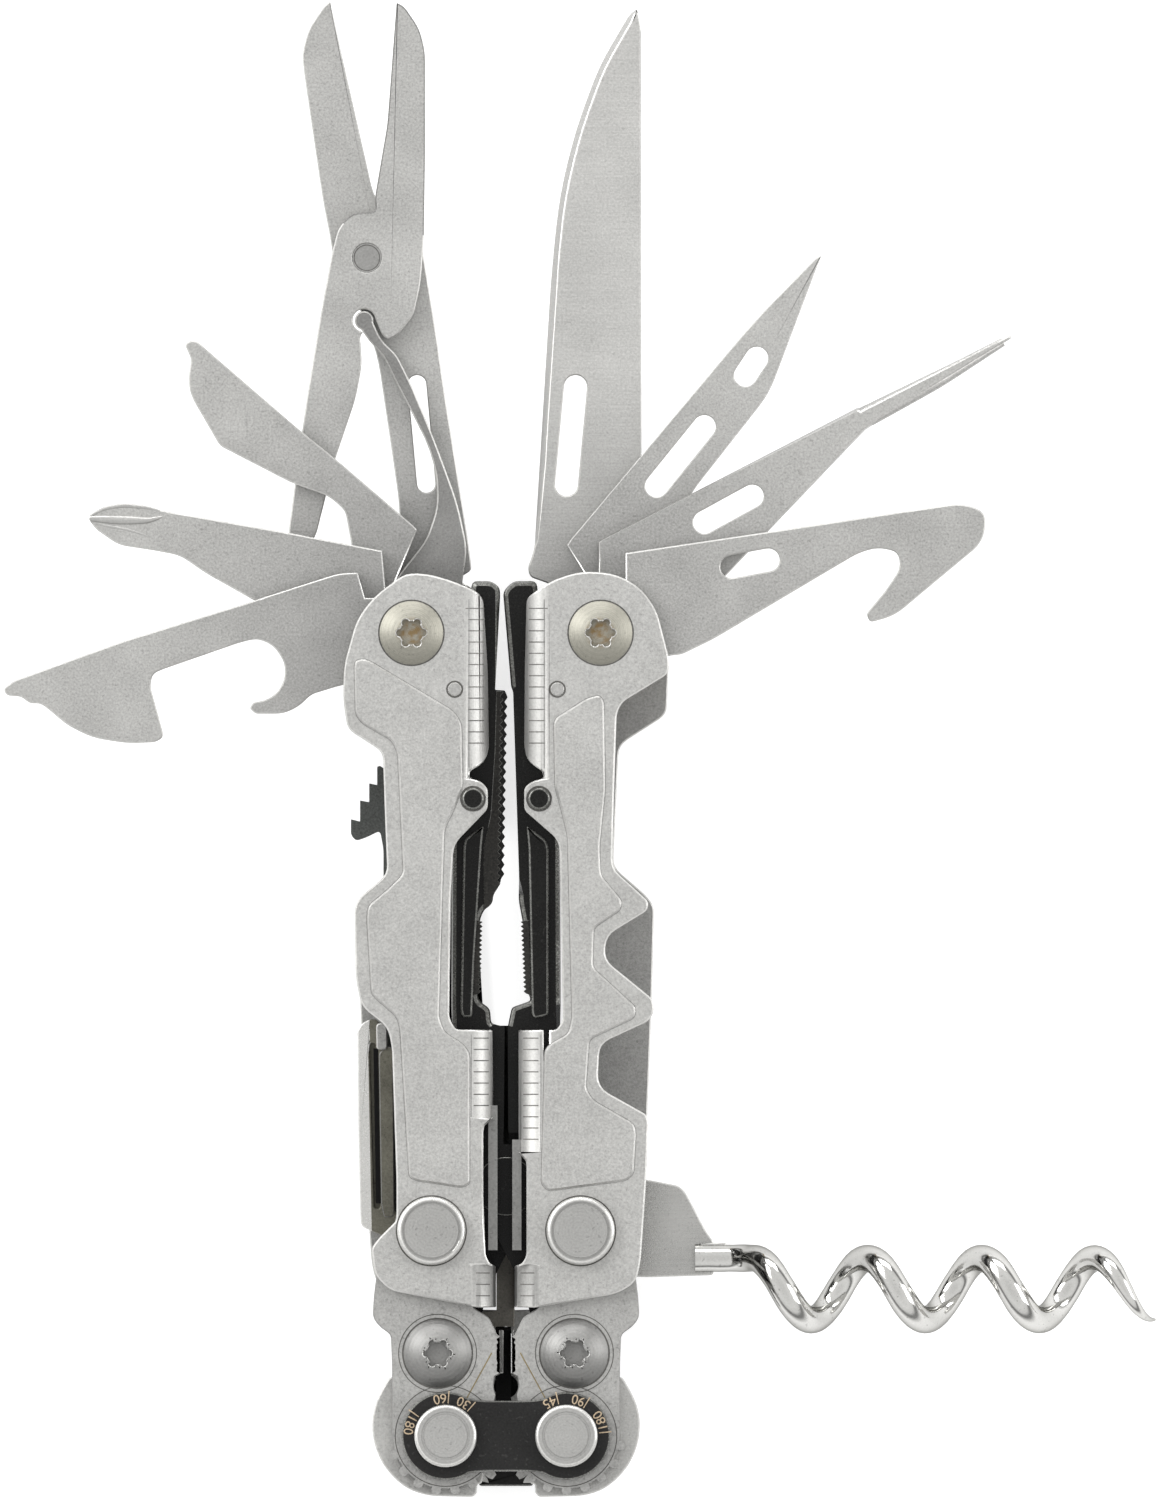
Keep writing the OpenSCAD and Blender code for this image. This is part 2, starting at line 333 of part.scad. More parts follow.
module flat_driver() color("silver") tool_l(12.6, 13.8, 4.2)
  polygon(rounded([[4.2, 0.8], [2.6, 5.0, 0.5], [1.7, 7.2, 0.5], [0.4, 9.2, 0.6], [-6.7, 15.3, 1.5], [-9.7, 17.7, 1.5], [-14.9, 22.2, 1.5], [-18.7, 25.5, 0.3], [-19.3, 25.7, 0.3], [-19.9, 25.3, 0.3],
    [-19.3, 24.0, 0.4], [-19.6, 22.3, 0.6], [-19.4, 21.0], [-18.9, 20.0, 1.0], [-16.8, 16.4, 0.4], [-10.4, 13.1, 1], [-7.2, 12.0, 1], [-5.8, 10.7, 0.5], [-5.3, 8.0, 0.8], [-4.3, 1.0], [0, -4.0]], 1));
// cross-head driver, ground flat on both sides to the thickness of its plate
module cross_driver() color("silver") tool_l(14.0, 15.6, 4.2)
  polygon(rounded([[4.2, 0.8], [2.0, 4.9, 0.5], [-2.1, 7.1, 0.6], [-10.9, 8.8], [-21.7, 10.7, 0.6], [-23.2, 11.1, 0.6], [-25.6, 11.4, 0.8], [-27.7, 10.5, 0.4], [-28.4, 10.1, 0.3], [-27.7, 9.1, 0.3], [-25.7, 7.7, 0.8], [-22.7, 7.25, 0.6], [-20.3, 6.8], [-18.0, 5.2, 0.8], [-13.0, 2.4, 1], [-4.2, 0.6], [0, -4.0]], 0.8));
module bottle_opener() color("silver") tool_l(15.8, 17.0, 4.2)
  polygon(rounded([[3.9, 1.8], [1.0, 5.0, 1], [-4.0, 5.3, 1], [-6.4, 5.2, 0.8], [-14.2, 2.7], [-25.5, -0.8], [-34.9, -4.2, 0.4], [-35.8, -4.9, 0.3], [-35.5, -5.5, 0.3], [-34.2, -5.6, 0.4], [-33.5, -6.2, 0.4], [-32.5, -6.2, 0.4], [-31.6, -6.9],
    [-30.2, -8.1], [-28.0, -9.2, 1], [-24.9, -9.7, 1], [-22.4, -9.6, 0.4], [-21.7, -9.1, 0.4], [-22.2, -7.2], [-22.9, -4.7, 0.6], [-22.7, -3.6, 0.5], [-21.8, -3.2, 0.6], [-14.9, -0.8, 0.8], [-13.5, -0.5, 0.6], [-12.1, -1.1, 0.7],
    [-11.1, -2.6, 0.7], [-11.1, -4.1, 0.7], [-11.8, -5.3, 0.6], [-12.8, -5.9, 0.5], [-13.9, -6.1, 0.3], [-14.2, -6.6, 0.2], [-13.7, -7.1, 0.3], [-11.2, -7.1, 1], [-9.8, -6.4, 0.6], [-8.8, -5.4, 0.5], [-6.2, -4.6], [-2, -3.9]], 0.8));

// ---------- tools on the lower pins ----------
module lower_eye(s, z0, z1, r) translate([s * low_x, low_y, 0]) difference() {
  slab(z0, z1) { circle(r); children(); }
  translate([0, 0, z0 - 1]) cylinder(r = low_r + run, h = z1 - z0 + 2);
}
module corkscrew_base() color("silver") {
  lower_eye(1, 3.8, 4.8, 3.2) polygon(rounded([[-1.5, 2.6, 0.4], [0.6, 3.4, 0.5], [5.3, 4.6, 1], [8.6, 3.95, 0.8], [9.2, 3.4, 0.6], [11.05, -0.15, 0.6], [11.7, -1.0, 0.3], [11.65, -3.9, 0.3], [5.2, -4.1, 1], [0.8, -3.3, 0.5]], 0.8));
  // boss that grips the end of the wire
  translate([17.0, 14.5, 3.85]) cube([2.3, 2.45, 1.6]);
}
cork_y = 12.9;
cork_z = 6.4;
cork_x0 = 16.6;
cork_x1 = 56.9;
cork_peak = 21.75;
cork_steps = 100;
cork_sides = 12;
// straight lead-in, a quarter bend up to the first crest, then the helix
cork_slope = atan(cork_r * 2 * PI / cork_pitch);
cork_bend = 2.35 / sin(cork_slope);
function cork_c(t) = let (x = cork_x0 + (cork_x1 - cork_x0) * t, a = (max(x, cork_peak) - cork_peak) / cork_pitch * 360,
    q = min(max(x - cork_peak + 2.35, 0), 2.35))
  [x, cork_y + cork_r * cos(a), x > cork_peak ? cork_z + cork_r * sin(a)
    : cork_z + sqrt(pow(cork_bend, 2) - 2.35 * 2.35) - sqrt(pow(cork_bend, 2) - q * q)];
function cork_w(t) = t < 0.86 ? cork_wire : cork_wire * (1 - 0.88 * pow((t - 0.86) / 0.14, 1.3));
function cork_d(t) = unit(cork_c(t + 0.004) - cork_c(t - 0.004));
module corkscrew_worm() color("gainsboro") polyhedron(
  points = concat(
    [for (i = [0:cork_steps]) let (t = i / cork_steps, c = cork_c(t), d = cork_d(t),
        n = c[0] < cork_peak ? [0, 1, 0] : unit([0, c[1] - cork_y, c[2] - cork_z]), u = unit(n - d * (n * d)), v = cross(d, u))
      for (k = [0:cork_sides - 1]) let (a = 360 * k / cork_sides) c + cork_w(t) * (u * cos(a) + v * sin(a))],
    [cork_c(0), cork_c(1)]),
  faces = concat(
    [for (i = [0:cork_steps - 1]) for (k = [0:cork_sides - 1]) let (a = i * cork_sides + k, b = i * cork_sides + (k + 1) % cork_sides)
      each [[a, a + cork_sides, b + cork_sides], [a, b + cork_sides, b]]],
    [for (k = [0:cork_sides - 1]) [(cork_steps + 1) * cork_sides, k, (k + 1) % cork_sides]],
    [for (k = [0:cork_sides - 1]) let (o = cork_steps * cork_sides) [(cork_steps + 1) * cork_sides + 1, o + (k + 1) % cork_sides, o + k]]));
// thin dark blade with a stepped, toothed tip that stands out of the left handle
module saw_hook() color("dimgray") lower_eye(-1, 3.8, 4.8, 3.2)
  polygon(rounded([[2.0, 2.0, 0.5], [-1.2, 6.0, 2], [-1.6, 30, 3], [-2.6, 39.5, 0.8], [-4.5, 40.8, 0.3], [-4.75, 40.7, 0.05], [-4.75, 39.1, 0.05], [-5.45, 39.25, 0.05], [-5.45, 37.6, 0.05], [-6.25, 37.75, 0.05], [-6.25, 35.9, 0.05],
    [-7.05, 36.1, 0.05], [-7.05, 34.7, 0.5], [-6.6, 34.2, 0.3], [-5.7, 34.5], [-4.5, 35.1, 0.4], [-4.2, 33.5, 0.5], [-4.2, 14, 3], [-3.6, 2.5, 1], [-2.8, -1.0], [0, -3.0]], 0.6));
module lower_lever() color("silver") difference() {
  lower_eye(-1, 5.0, 8.0, 2.25) polygon(rounded([[-2.2, 0.6], [-3.6, 2.2, 0.8], [-3.7, 8], [-4.0, 17.6, 0.5], [-4.9, 18.7, 0.8], [-6.0, 18.3, 0.8], [-6.5, 17.6, 0.3], [-6.4, 8], [-6.2, 0.4, 0.5], [-3.9, -0.6, 0.8], [-1.2, -1.9, 0.3]], 1));
  // groove between the bright edge and the body
  slab(7.2, 9) slot2d([-11.3, 20.2], [-11.7, 34.2], 0.5);
}

module place() translate([-origin_x, -origin_y, 0]) children();
place() yoke(false);  // yoke_front
place() yoke(true);  // yoke_back
place() flip_x(true) gear_pin();  // gear_pin_left
place() gear_pin();  // gear_pin_right
place() front_shell_left();
place() back_shell_left();
place() flip_x(true) gear_plate(10, false);  // gear_plate_front_left
place() flip_x(true) gear_plate(0, true);  // gear_plate_back_left
place() flip_x(true) jaw_screw();  // jaw_screw_left
place() flip_x(true) jaw_nut();  // jaw_nut_left
place() flip_x(true) tool_screw();  // tool_screw_left
place() flip_x(true) tool_nut();  // tool_nut_left
place() flip_x(true) lower_pin();  // lower_pin_left
place() flip_x(true) washers([10.8, 12.4, 13.8, 15.6], 9.3);  // tool_washers_left
place() flip_x(true) shell_rivets();  // shell_rivets_left
place() flip_x(true) stop_pin();  // stop_pin_left
place() front_shell_right();
place() back_shell_right();
place() gear_plate(0, false);  // gear_plate_front_right
place() gear_plate(10, true);  // gear_plate_back_right
place() jaw_screw();  // jaw_screw_right
place() jaw_nut();  // jaw_nut_right
place() tool_screw();  // tool_screw_right
place() tool_nut();  // tool_nut_right
place() lower_pin();  // lower_pin_right
place() washers([12.6, 14.0, 15.6], 10.7);  // tool_washers_right
place() shell_rivets();  // shell_rivets_right
place() stop_pin();  // stop_pin_right
place() lower_spacer();  // lower_spacer_right
place() jaw_left();
place() jaw_right();
place() jaw_pivot();
place() knife();
place() awl();
place() flute_driver();
place() hook_cutter();
place() corkscrew_base();
place() corkscrew_worm();
place() scissors_tang();
place() scissors_lever();
place() scissors_rivet();
place() scissors_spring();
place() flat_driver();
place() cross_driver();
place() bottle_opener();
place() saw_hook();
place() lower_lever();
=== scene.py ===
"""Looks of a compact folding multi tool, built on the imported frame. Lengths in the helpers are millimetres."""
import json
import math

import bmesh
import bpy
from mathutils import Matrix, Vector


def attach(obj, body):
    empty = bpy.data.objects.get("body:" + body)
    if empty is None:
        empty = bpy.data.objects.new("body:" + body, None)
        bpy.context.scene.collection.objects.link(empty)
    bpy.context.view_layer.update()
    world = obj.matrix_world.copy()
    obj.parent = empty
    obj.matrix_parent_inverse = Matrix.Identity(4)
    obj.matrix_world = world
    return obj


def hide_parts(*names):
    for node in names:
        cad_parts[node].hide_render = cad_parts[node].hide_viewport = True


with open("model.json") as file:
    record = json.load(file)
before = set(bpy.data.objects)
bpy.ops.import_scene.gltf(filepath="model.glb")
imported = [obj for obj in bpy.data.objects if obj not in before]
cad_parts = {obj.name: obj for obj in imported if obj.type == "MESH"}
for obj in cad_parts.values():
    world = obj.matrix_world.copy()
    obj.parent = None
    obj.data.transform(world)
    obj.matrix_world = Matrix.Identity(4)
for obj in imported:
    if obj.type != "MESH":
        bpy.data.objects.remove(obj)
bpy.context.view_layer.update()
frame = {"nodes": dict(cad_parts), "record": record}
rec = frame["record"]
BODY = {n: b for b, ns in rec["behaviour"]["bodies"].items() for n in ns}
MM = 0.001
OX, OY = 6.4, 60.0          # design frame to object frame
R0, L0 = (8.3, 70.45), (-8.3, 70.45)


def P(x, y, z=0.0):
    return Vector(((x - OX) * MM, (y - OY) * MM, z * MM))


def Q(co):
    """A point of the object frame in the design frame, in mm."""
    return co.x / MM + OX, co.y / MM + OY, co.z / MM


# ------------------------------------------------------------------ materials
def metal(name, col, rough=0.4, metallic=0.75, grain=0.05, mottle=0.05, speck=0.25, speck_at=0.70, bump=0.25, gscale=5.0,
          brush=None, brush_amt=0.06, rings=None, stain=None, rvar=0.10, coat=0.0, spec=0.5, dark=None, tint=None):
    """Metal with blasted grain, slow mottling, small dark specks and, where asked, a brushed or turned finish."""
    m = bpy.data.materials.new(name)
    m.use_nodes = True
    nt = m.node_tree
    nt.nodes.clear()
    N, L = nt.nodes.new, nt.links.new
    out, b = N("ShaderNodeOutputMaterial"), N("ShaderNodeBsdfPrincipled")
    L(b.outputs[0], out.inputs[0])
    b.inputs["Metallic"].default_value = metallic
    b.inputs["Specular IOR Level"].default_value = spec
    b.inputs["Coat Weight"].default_value = coat
    if tint is not None:
        b.inputs["Specular Tint"].default_value = (*tint, 1)
    tc, mp = N("ShaderNodeTexCoord"), N("ShaderNodeMapping")
    mp.inputs["Scale"].default_value = (1000, 1000, 1000)
    L(tc.outputs["Object"], mp.inputs["Vector"])
    vec = mp.outputs[0]

    def noise(scale, detail=2.0, rough_=0.6, v=vec, off=0.0):
        n = N("ShaderNodeTexNoise")
        n.inputs["Scale"].default_value = scale
        n.inputs["Detail"].default_value = detail
        n.inputs["Roughness"].default_value = rough_
        if off:
            a = N("ShaderNodeVectorMath")
            a.operation = "ADD"
            a.inputs[1].default_value = (off, off * 0.7, off * 1.3)
            L(v, a.inputs[0])
            v = a.outputs[0]
        L(v, n.inputs["Vector"])
        return n.outputs["Fac"]

    def math_(op, a, c, clamp=False):
        n = N("ShaderNodeMath")
        n.operation = op
        n.use_clamp = clamp
        for i, v in enumerate((a, c)):
            if isinstance(v, (int, float)):
                n.inputs[i].default_value = v
            else:
                L(v, n.inputs[i])
        return n.outputs[0]

    def remap(v, lo, hi, a, c):
        n = N("ShaderNodeMapRange")
        n.inputs["From Min"].default_value, n.inputs["From Max"].default_value = lo, hi
        n.inputs["To Min"].default_value, n.inputs["To Max"].default_value = a, c
        L(v, n.inputs["Value"])
        return n.outputs[0]

    g = noise(gscale, 3.0, 0.75)
    mt = noise(0.22, 4.0, 0.55, off=7.3)
    sp = noise(3.3, 0.0, 0.4, off=31.7)
    f = math_("ADD", remap(g, 0.3, 0.7, 1 - grain * 2.4, 1 + grain * 2.4), remap(mt, 0.3, 0.7, -mottle, mottle))
    n_ = nt.nodes.new("ShaderNodeMapRange")
    n_.clamp = True
    n_.inputs["From Min"].default_value, n_.inputs["From Max"].default_value = speck_at + 0.05, speck_at + 0.10
    n_.inputs["To Min"].default_value, n_.inputs["To Max"].default_value = 0.0, speck
    L(sp, n_.inputs["Value"])
    f = math_("SUBTRACT", f, n_.outputs[0])
    if dark is not None:
        # painted shade: the metal is darkened towards its pivot, where the handles shade it
        ds = N("ShaderNodeVectorMath")
        ds.operation = "SUBTRACT"
        ds.inputs[1].default_value = (dark[0] - OX, dark[1] - OY, 0)
        L(vec, ds.inputs[0])
        dm = N("ShaderNodeVectorMath")
        dm.operation = "MULTIPLY"
        dm.inputs[1].default_value = (1, 1, 0)
        L(ds.outputs[0], dm.inputs[0])
        dl = N("ShaderNodeVectorMath")
        dl.operation = "LENGTH"
        L(dm.outputs[0], dl.inputs[0])
        f = math_("MULTIPLY", f, remap(dl.outputs["Value"], dark[2], dark[3], dark[4], 1.0))
    height = g
    if brush is not None:
        bm_ = N("ShaderNodeMapping")
        bm_.inputs["Rotation"].default_value = (0, 0, brush)
        bm_.inputs["Scale"].default_value = (0.25, 9.0, 1.0)
        L(vec, bm_.inputs["Vector"])
        br = noise(1.0, 3.0, 0.6, v=bm_.outputs[0])
        f = math_("ADD", f, remap(br, 0.3, 0.7, -brush_amt, brush_amt))
        height = math_("ADD", g, math_("MULTIPLY", br, 1.2))
    if rings is not None:
        s = N("ShaderNodeVectorMath")
        s.operation = "SUBTRACT"
        s.inputs[1].default_value = ((rings[0] - OX), (rings[1] - OY), 0)
        L(vec, s.inputs[0])
        fl = N("ShaderNodeVectorMath")
        fl.operation = "MULTIPLY"
        fl.inputs[1].default_value = (1, 1, 0)
        L(s.outputs[0], fl.inputs[0])
        ln = N("ShaderNodeVectorMath")
        ln.operation = "LENGTH"
        L(fl.outputs[0], ln.inputs[0])
        wv = math_("SINE", math_("MULTIPLY", ln.outputs["Value"], rings[2]), 0.0)
        wv2 = math_("SINE", math_("MULTIPLY", ln.outputs["Value"], rings[2] * 2.63), 0.0)
        w = math_("ADD", math_("MULTIPLY", wv, 0.6), math_("MULTIPLY", wv2, 0.4))
        f = math_("ADD", f, math_("MULTIPLY", w, 0.035))
        height = math_("ADD", g, math_("MULTIPLY", w, 0.55))
        if stain is not None:
            st = remap(ln.outputs["Value"], stain[0], stain[1], 1.0, 0.0)
            st = math_("MULTIPLY", st, remap(noise(1.4, 3.0, 0.6, off=11.0), 0.42, 0.62, 0.15, 1.0), clamp=True)
    sc = N("ShaderNodeVectorMath")
    sc.operation = "SCALE"
    sc.inputs[0].default_value = col
    L(f, sc.inputs["Scale"])
    cout = sc.outputs[0]
    if stain is not None:
        mx = N("ShaderNodeMix")
        mx.data_type = "RGBA"
        L(st, mx.inputs["Factor"])
        L(cout, mx.inputs["A"])
        mx.inputs["B"].default_value = (*stain[2], 1)
        cout = mx.outputs["Result"]
    L(cout, b.inputs["Base Color"])
    r = math_("ADD", remap(g, 0.3, 0.7, rough - rvar * 0.5, rough + rvar * 0.5), remap(mt, 0.3, 0.7, -rvar * 0.4, rvar * 0.4), clamp=True)
    L(r, b.inputs["Roughness"])
    if bump:
        bp = N("ShaderNodeBump")
        bp.inputs["Strength"].default_value = bump
        bp.inputs["Distance"].default_value = 0.00004
        L(height, bp.inputs["Height"])
        L(bp.outputs[0], b.inputs["Normal"])
    return m


W = (1.0, 0.992, 0.962)


def grey(v, t=W):
    return tuple(v * c for c in t)


# painted shade round the tool pivots: centre x, y, the radius of full darkening and the radius where it ends, in mm,
# and the darkest factor
PIVOT_SHADE_R, PIVOT_SHADE_L = (8.3, 70.45, 6.0, 24.0, 0.74), (-8.3, 70.45, 6.0, 24.0, 0.72)
M = {
    "shell": metal("shell_blasted", grey(0.385), 0.46, grain=0.09, mottle=0.035, speck=0.14, speck_at=0.69, bump=0.45),
    # painted shade: a darker copy of the shell steel for the back shells and back gear plates, which lie in shade
    "shell_shaded": metal("shell_blasted_back_shaded", grey(0.31), 0.46, grain=0.10, mottle=0.06, speck=0.16, speck_at=0.68, bump=0.4),
    # painted highlight: chamfers take a lighter steel than the faces, for the light their edges catch
    "edge": metal("edge_bright", grey(0.56), 0.34, grain=0.05, mottle=0.06, speck=0.1, bump=0.15),
    "edge_soft": metal("edge_soft", grey(0.49), 0.38, grain=0.05, mottle=0.05, speck=0.1, bump=0.2),
    "plate": metal("plate_satin", grey(0.335), 0.44, grain=0.09, mottle=0.08, speck=0.2, speck_at=0.66, bump=0.35),
    "disc": metal("gear_cover", grey(0.40), 0.44, grain=0.08, mottle=0.09, speck=0.15, speck_at=0.66, bump=0.35),
    "blade_r": metal("blade_blasted_r", grey(0.375), 0.44, grain=0.10, mottle=0.05, speck=0.14, speck_at=0.67, bump=0.42, dark=PIVOT_SHADE_R),
    "blade_l": metal("blade_blasted_l", grey(0.36), 0.44, grain=0.10, mottle=0.06, speck=0.14, speck_at=0.67, bump=0.42, dark=PIVOT_SHADE_L),
    "knife": metal("knife_ground", grey(0.42), 0.40, grain=0.07, mottle=0.03, speck=0.1, bump=0.28, brush=0.0, brush_amt=0.05, dark=PIVOT_SHADE_R),
    # painted shade round the pivot for the hook cutter too
    "hook": metal("blade_blasted_c", grey(0.345), 0.44, grain=0.10, mottle=0.06, speck=0.16, speck_at=0.66, bump=0.42, dark=(8.3, 70.45, 4, 18, 0.9)),
    "ground": metal("ground_edge", grey(0.36), 0.38, grain=0.05, mottle=0.04, speck=0.1, bump=0.15, brush=0.3, brush_amt=0.06),
    "bevel": metal("ground_bevel", grey(0.17), 0.45, grain=0.08, mottle=0.06, speck=0.1, bump=0.2),
    "yoke": metal("black_oxide_plate", (0.0090, 0.0088, 0.0086), 0.45, metallic=0.0, grain=0.2, mottle=0.15, speck=-1.2, speck_at=0.67, bump=0.25, spec=0.2),
    "black": metal("black_oxide_satin", (0.0060, 0.0060, 0.0056), 0.27, metallic=0.0, grain=0.25, mottle=0.2, speck=-1.6, speck_at=0.68, bump=0.3, spec=0.16),
    # painted highlight: chamfers of the black parts take a far lighter, glossier colour than the black faces
    "black_edge": metal("black_oxide_edge_highlight", (0.13, 0.13, 0.122), 0.26, metallic=0.6, grain=0.2, mottle=0.25, speck=-0.5, bump=0.2, spec=0.6),
    "black_matt": metal("black_matt", (0.020, 0.019, 0.017), 0.6, metallic=0.0, grain=0.3, mottle=0.2, speck=-0.6, bump=0.4, spec=0.2),
    # painted shade: near-black for holes and grooves that lie in shade
    "hole_shade_black": metal("hole_shade_black", (0.004, 0.004, 0.004), 0.7, metallic=0.0, grain=0.2, mottle=0.2, speck=0.0, bump=0.2, spec=0.1),
    "charcoal": metal("charcoal_rough", (0.066, 0.070, 0.066), 0.55, metallic=0.25, grain=0.2, mottle=0.12, speck=0.3, bump=0.5),
    "gold": metal("etched_tan", (0.36, 0.28, 0.19), 0.55, metallic=0.2, grain=0.1, mottle=0.15, speck=0.1, bump=0.1, gscale=8),
    "gold_line": metal("etched_tan_line", (0.17, 0.135, 0.07), 0.55, metallic=0.3, grain=0.1, mottle=0.3, speck=0.1, bump=0.1, gscale=8),
    # etched print, also used for dark rings that stand in for contact shadows round rivets, pins and screws
    "line": metal("etched_line_and_contact_shadow", (0.075, 0.073, 0.068), 0.5, metallic=0.2, grain=0.1, mottle=0.3, speck=0.1, bump=0.1, spec=0.2),
    "tick": metal("ruler_tick", (0.13, 0.127, 0.12), 0.6, metallic=0.0, grain=0.1, mottle=0.3, speck=0.1, bump=0.1, spec=0.1),
    # painted shade: dark line colour for the creases round the pads and the bends of the rolled edges; the gear plates'
    # chamfers and the scissors rivet's rings use it too
    "line_soft": metal("painted_shade_line", grey(0.22), 0.45, metallic=0.5, grain=0.08, mottle=0.2, speck=0.1, bump=0.1),
    "brass": metal("washer_bronze", (0.36, 0.27, 0.14), 0.35, grain=0.08, mottle=0.1, speck=0.2, bump=0.15),
    "chrome": metal("polished_chrome", grey(0.56), 0.10, metallic=1.0, grain=0.02, mottle=0.05, speck=0.2, speck_at=0.70, bump=0.08, rvar=0.06, tint=(0.35, 0.35, 0.34)),
    "cork_plate": metal("polished_plate", grey(0.43), 0.28, metallic=0.95, grain=0.04, mottle=0.08, speck=0.15, bump=0.12, brush=0.9, brush_amt=0.05),
    "roll": metal("roll_bright", grey(0.40), 0.50, grain=0.06, mottle=0.03, speck=0.1, bump=0.25),
    "spring": metal("spring_satin", grey(0.20), 0.45, grain=0.09, mottle=0.1, speck=0.2, bump=0.3),
    # painted shade: dark olive steel for metal that lies in shadow
    "shaded_steel": metal("shaded_steel", (0.135, 0.13, 0.105), 0.45, grain=0.1, mottle=0.2, speck=0.3, bump=0.3),
    "deep_steel": metal("deep_steel", (0.19, 0.18, 0.16), 0.5, grain=0.1, mottle=0.2, speck=0.3, bump=0.3),
    "polish": metal("polished_strip", grey(0.60), 0.24, metallic=0.9, grain=0.03, mottle=0.05, speck=0.1, bump=0.08),
}


def turned(name, x, y, v=0.44, rough=0.36, freq=26.0, stain=None, col=None):
    return metal(name, col or grey(v), rough, grain=0.05, mottle=0.04, speck=0.2, bump=0.22, rings=(x, y, freq), stain=stain)


# ------------------------------------------------------------------ mesh helpers
def cad(node):
    bm = bmesh.new()
    bm.from_mesh(frame["nodes"][node].data)
    bmesh.ops.remove_doubles(bm, verts=bm.verts, dist=2e-6)
    bmesh.ops.dissolve_limit(bm, angle_limit=math.radians(0.7), verts=bm.verts, edges=bm.edges, use_dissolve_boundaries=False)
    bmesh.ops.recalc_face_normals(bm, faces=bm.faces)
    bm.normal_update()
    return bm


def rim(e):
    a, b = (abs(f.normal.z) for f in e.link_faces)
    return max(a, b) > 0.92 and min(a, b) < 0.6


def chamfer(bm, width, pred=rim, mat=1, segments=1, angle=35, profile=0.5):
    bm.normal_update()
    es = [e for e in bm.edges if len(e.link_faces) == 2 and e.is_convex and e.calc_face_angle(0) > math.radians(angle) and pred(e)]
    if es:
        bmesh.ops.bevel(bm, geom=es, offset=width * MM, offset_type="OFFSET", segments=segments, profile=profile, affect="EDGES",
                        clamp_overlap=False, material=mat, loop_slide=True)
    bm.normal_update()
    return bm


def wedge(bm, zmid, depth, mat=2):
    """Grinds the walls where depth(x, y) > 0 to an edge at zmid: both rims move in by that depth, in mm."""
    g = list(bm.verts) + list(bm.edges) + list(bm.faces)
    bmesh.ops.bisect_plane(bm, geom=g, plane_co=(0, 0, zmid * MM), plane_no=(0, 0, 1), dist=1e-7)
    bm.normal_update()
    moves = []
    for v in bm.verts:
        x, y, z = Q(v.co)
        if abs(z - zmid) < 0.02:
            continue
        d = depth(x, y)
        if d <= 0:
            continue
        n = Vector((0, 0, 0))
        for f in v.link_faces:
            if abs(f.normal.z) < 0.3:
                n += f.normal
        if n.length < 1e-6:
            continue
        n.normalize()
        cosmin = min((n.dot(f.normal) for f in v.link_faces if abs(f.normal.z) < 0.3), default=1)
        moves.append((v, n * (-d * MM / max(cosmin, 0.5))))
    touched = set()
    for v, m in moves:
        v.co += m
        touched.update(f for f in v.link_faces if abs(f.normal.z) < 0.3)
    for f in touched:
        f.material_index = mat
    bm.normal_update()
    return bm


def emit(name, bm, body, mats, nodes=(), angle=32, wn=True):
    me = bpy.data.meshes.new(name)
    bmesh.ops.recalc_face_normals(bm, faces=bm.faces)
    bm.to_mesh(me)
    bm.free()
    for m in mats:
        me.materials.append(M[m] if isinstance(m, str) else m)
    me.shade_smooth()
    me.set_sharp_from_angle(angle=math.radians(angle))
    o = bpy.data.objects.new(name, me)
    bpy.context.scene.collection.objects.link(o)
    if wn:
        w = o.modifiers.new("normals", "WEIGHTED_NORMAL")
        w.keep_sharp = True
        w.weight = 100
    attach(o, body)
    if nodes:
        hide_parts(*nodes)
    return o


def look(node, width=0.12, mats=("blade_r", "edge"), pred=rim, segments=1, grind=None, pre=None, post=None, angle=32):
    bm = cad(node)
    mats = list(mats)
    if grind:
        wedge(bm, grind[0], grind[1], mat=len(mats))
        mats.append("ground")
    if pre:
        pre(bm)
    if width:
        chamfer(bm, width, pred, segments=segments)
    if post:
        post(bm)
    return emit(node + "_look", bm, BODY[node], mats, [node], angle)


def corner(pts, cut=0.6, n=4):
    """Outline with its corners rounded off; a third number on a point is its own cut length."""
    out, k = [], len(pts)
    for i in range(k):
        a, b, c = Vector(pts[i - 1][:2]), Vector(pts[i][:2]), Vector(pts[(i + 1) % k][:2])
        t = pts[i][2] if len(pts[i]) > 2 else cut
        t = min(t, 0.47 * (a - b).length, 0.47 * (c - b).length)
        if t < 0.03:
            out.append(tuple(b))
            continue
        s, e = b + (a - b).normalized() * t, b + (c - b).normalized() * t
        for j in range(n + 1):
            u = j / n
            out.append(tuple(s * (1 - u) ** 2 + b * 2 * u * (1 - u) + e * u * u))
    return out


def prism(bm, pts, z0, z1, mat=0):
    vs = [bm.verts.new(P(x, y, z0)) for x, y in pts]
    f = bm.faces.new(vs)
    f.material_index = mat
    r = bmesh.ops.extrude_face_region(bm, geom=[f])
    up = [v for v in r["geom"] if isinstance(v, bmesh.types.BMVert)]
    for v in up:
        v.co.z = z1 * MM
    for x in bm.faces:
        if x.material_index != mat and all(v in up or v in vs for v in x.verts):
            x.material_index = mat
    return bm


def panel(name, pts, z0, z1, body, mats, width=0.12, cut=0.6, segments=1, n=4):
    bm = bmesh.new()
    prism(bm, corner(pts, cut, n), z0, z1)
    bmesh.ops.recalc_face_normals(bm, faces=bm.faces)
    bm.normal_update()
    chamfer(bm, width, lambda e: rim(e) and min(v.co.z for v in e.verts) > (z0 + z1) / 2 * MM, segments=segments)
    return emit(name, bm, body, mats)


